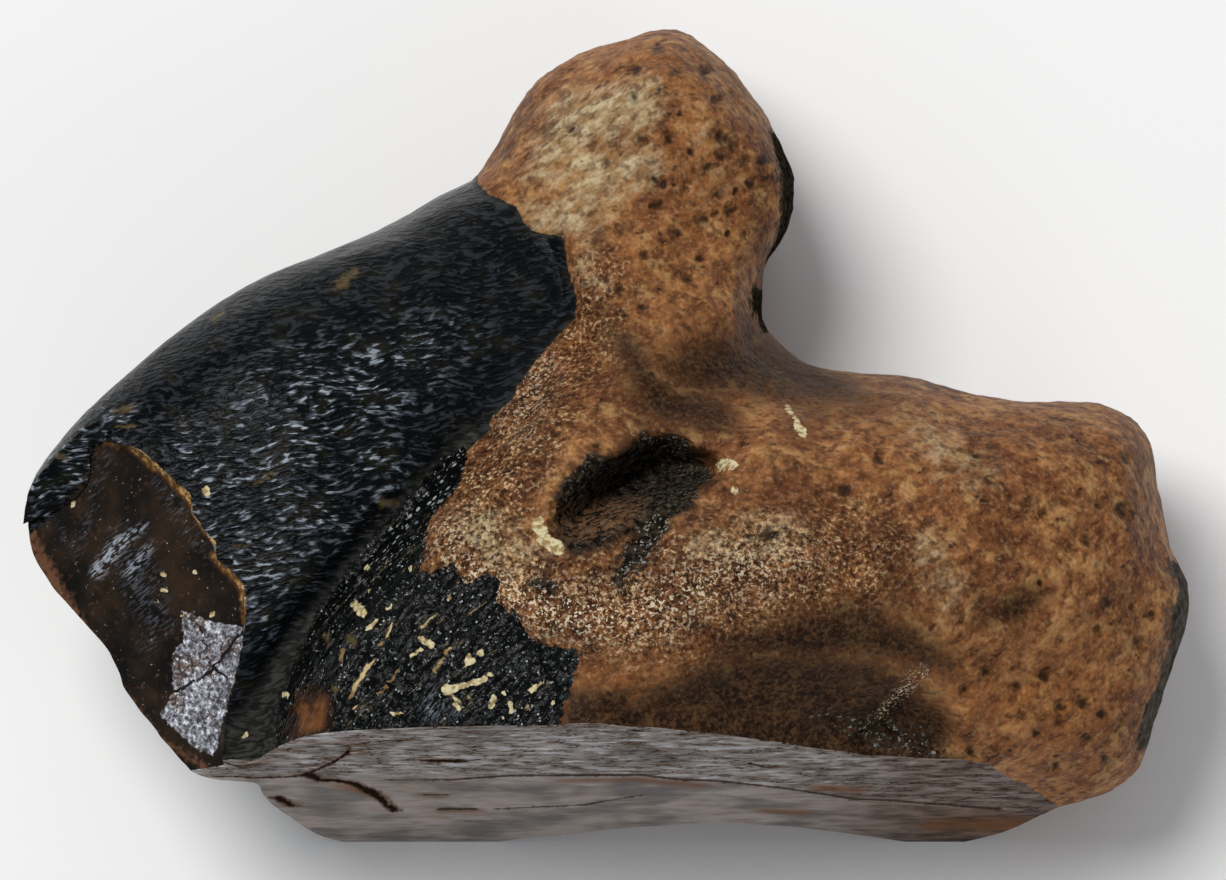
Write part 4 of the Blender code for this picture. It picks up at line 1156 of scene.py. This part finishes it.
# %% [markdown]
# ## The wear facet's finish
#
# Years of chewing ground this face flat and drew fine lines along it. It is grey dentine with warm stains,
# and it has no gloss: a flat face seen at a grazing angle would mirror the floor and hide its marks. Its
# light grey is partly a painted reflection of the pale floor, laid into the colour in place of that gloss,
# and its bluish clouds are a painted reflection too. Above the growth line, near the enamel, it is full of
# hairlines; below it is cloudy, and towards the root it turns brown.

# %% What varies on the wear facet
facet_at = waves((MM, MM, MM), 0.0, model_at)
x, y, z = (Value.node("SeparateXYZ", None, {"Vector": facet_at}, out=axis) for axis in "XYZ")
along = x - float(ORIGIN[0])
is_facet = (y - float(LOW[1])).between(0.04, 0.012)
upper = (z + 0.45 * (along - 2.0).maths("MAXIMUM", 0.0)).between(9.0, 10.6)


def streaks(long, high, detail, roughness=0.5):
    """Noise drawn out along the wear facet."""
    return cloud(waves((long, 1.0, high), 0.0, facet_at), 1.0, detail, roughness)


grain = streaks(1.3, 0.5, 3, 0.65)
clouds = streaks(2.6, 2.2, 2, 0.6)
hair = streaks(0.9, 0.3, 2.5)
crumble = streaks(0.28, 1.1, 3, 0.7)
hairlines = hair.distance(0.47).between(0.03, 0.012) * grain.between(0.58, 0.48) * upper
brown_end = along.between(5.0, 12.0) * (1 - upper * 0.25)
brown_shade = mixed(grain.between(0.4, 0.6), srgb(52, 36, 25), srgb(104, 78, 60))
stained = (attribute("facet_stains") + 1.2 * (grain - 0.5)).between(0.1, 1.0)
lined = (attribute("facet_line") + 1.2 * (crumble - 0.5)).between(0.1, 0.6)
lined = lined * attribute("facet_line").between(0.0, 0.2)
crumbled = attribute("facet_crack") + 1.6 * (crumble - 0.5)
crack_edge = crumbled.between(0.0, 0.5) * attribute("facet_crack").between(0.0, 0.2)
cracked = crumbled.between(0.45, 0.75) * attribute("facet_crack").between(0.0, 0.15)

# %% Wear facet
facet_colour = painted(
    # its light grey stands partly for a painted reflection of the pale floor
    ramp(
        grain * (0.3 + 0.3 * upper) + clouds * (0.7 - 0.3 * upper),
        (0.38, srgb(104, 95, 87)),
        (0.47, srgb(130, 122, 116)),
        (0.54, srgb(147, 141, 137)),
        (0.62, srgb(172, 170, 173)),
    ),
    (clouds.between(0.5, 0.64) * (1 - upper) * 0.45, srgb(140, 114, 92)),
    # painted bluish reflection
    (clouds.between(0.46, 0.36) * 0.3, srgb(128, 131, 140)),
    (grain.between(0.43, 0.35) * (0.15 + 0.3 * upper), srgb(118, 84, 68)),
    (hair.between(0.4, 0.35) * (0.08 + 0.6 * upper), srgb(52, 42, 38)),
    (hairlines * 0.9, srgb(30, 22, 19)),
    (hair.between(0.62, 0.68) * upper * 0.6, srgb(214, 212, 214)),
    (brown_end * 0.75, brown_shade),
    (stained * 0.75, srgb(112, 76, 50)),
    (lined * 0.85, srgb(48, 35, 26)),
    (crack_edge * 0.8, srgb(82, 56, 38)),
    (cracked * 0.95, srgb(24, 17, 13)),
)
facet_height = grain - 0.6 * cracked + 0.4 * hair * upper
facet_finish = finish(facet_colour, 0.5, facet_height, 0.05, 0.0)
print("nodes with the wear facet:", len(Value.tree.nodes))

# %% [markdown]
# ## All finishes together
#
# The finishes are laid over each other with Mix Shader nodes: enamel, lobe, root, dull places, chip, and
# the facet last. One big Principled shader fed by mixed colours would do as well, but then every place
# would work out the noise of every zone. A Mix Shader whose factor is 0 or 1 skips the side it doesn't
# need.

# %% Mixing the finishes
is_root = edged("root", 0.16 + 0.3 * is_lobe, -0.02, 0.03)
is_dull = is_pit.maths("MAXIMUM", is_black_patch_and_shade).maths("MAXIMUM", is_shaded_side).maths("MAXIMUM", is_slate)
layers = [
    (is_lobe, lobe_finish),
    (is_root, root_finish),
    (is_dull, dull_finish),
    (is_chip, chip_finish),
    (is_facet, facet_finish),
]
surface = enamel_finish
for mask, over in layers:
    surface = Value.node("MixShader", None, {0: mask, 1: surface, 2: over})
Value.node("OutputMaterial", None, {"Surface": surface})
skin.data.materials.clear()
skin.data.materials.append(material)

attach(skin, "root")
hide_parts("tooth")
print("nodes in the material:", len(Value.tree.nodes))

# %% [markdown]
# ## Floor, light and camera
#
# Small finds are best shown from above on a pale ground, in soft light from one side, so that the relief
# throws short shadows. A broad softbox does most of the work, two weaker ones open the shadows.

# %% Floor
HALF_FLOOR = 1.5  # in m
FLOOR_GREY = (0.92, 0.92, 0.92, 1)
FLOOR_ROUGHNESS = 0.9

floor_form = bmesh.new()
bmesh.ops.create_grid(floor_form, x_segments=1, y_segments=1, size=HALF_FLOOR)
floor = bpy.data.objects.new("floor", bpy.data.meshes.new("floor"))
floor_form.to_mesh(floor.data)
floor_form.free()
bpy.context.scene.collection.objects.link(floor)
floor_material = bpy.data.materials.new("pale_floor")
floor_material.use_nodes = True
floor_shader = floor_material.node_tree.nodes["Principled BSDF"]
floor_shader.inputs["Base Color"].default_value = FLOOR_GREY
floor_shader.inputs["Roughness"].default_value = FLOOR_ROUGHNESS
floor.data.materials.append(floor_material)
print("floor:", 2 * HALF_FLOOR, "m wide")

# %% Softboxes
LIT_PLACE = Vector((0, 0, 0.008))  # inside the tooth, in m
SKY = (0.88, 0.93, 1.0, 1)
SKY_STRENGTH = 0.27


def softbox(name, towards, distance, size, power, tint):
    """A round lamp that looks at the tooth from that direction and distance in m; the power is in W."""
    light = bpy.data.lights.new(name, "AREA")
    light.shape = "DISK"
    light.size = size
    light.energy = power
    light.color = tint
    lamp = bpy.data.objects.new(name, light)
    direction = Vector(towards).normalized()
    lamp.location = LIT_PLACE + direction * distance
    lamp.rotation_euler = direction.to_track_quat("Z", "Y").to_euler()
    bpy.context.scene.collection.objects.link(lamp)
    print(name, "stands at", [round(place, 2) for place in lamp.location], "m")


softbox("key", (-0.35, 0.2, 0.93), 0.6, 0.3, 2.7, (1.0, 0.985, 0.96))
softbox("fill", (0.5, -0.8, 0.5), 0.7, 0.6, 0.8, (1.0, 0.98, 0.95))
softbox("back", (0.1, 0.9, 0.5), 0.7, 0.5, 0.6, (1.0, 0.99, 0.97))
world = bpy.data.worlds.new("studio")
bpy.context.scene.world = world
world.use_nodes = True
world.node_tree.nodes["Background"].inputs["Color"].default_value = SKY
world.node_tree.nodes["Background"].inputs["Strength"].default_value = SKY_STRENGTH

# %% Camera
VIEW_DISTANCE = 500.0  # mm from the side view's origin, along w
HALF_WIDTH = 21.065  # mm seen to either side of the origin
SENSOR_WIDTH = 36

camera_data = bpy.data.cameras.new("camera")
camera_data.sensor_width = SENSOR_WIDTH
camera_data.lens = SENSOR_WIDTH * VIEW_DISTANCE / (2 * HALF_WIDTH)
camera_data.clip_start = 0.01
camera = bpy.data.objects.new("camera", camera_data)
camera.location = (Vector(ORIGIN) + TOWARDS_W * VIEW_DISTANCE) * MM
camera.rotation_euler = TOWARDS_W.to_track_quat("Z", "Y").to_euler()
bpy.context.scene.collection.objects.link(camera)
bpy.context.scene.camera = camera
bpy.context.scene.view_settings.view_transform = "Standard"
print("focal length, mm:", round(camera_data.lens, 1))
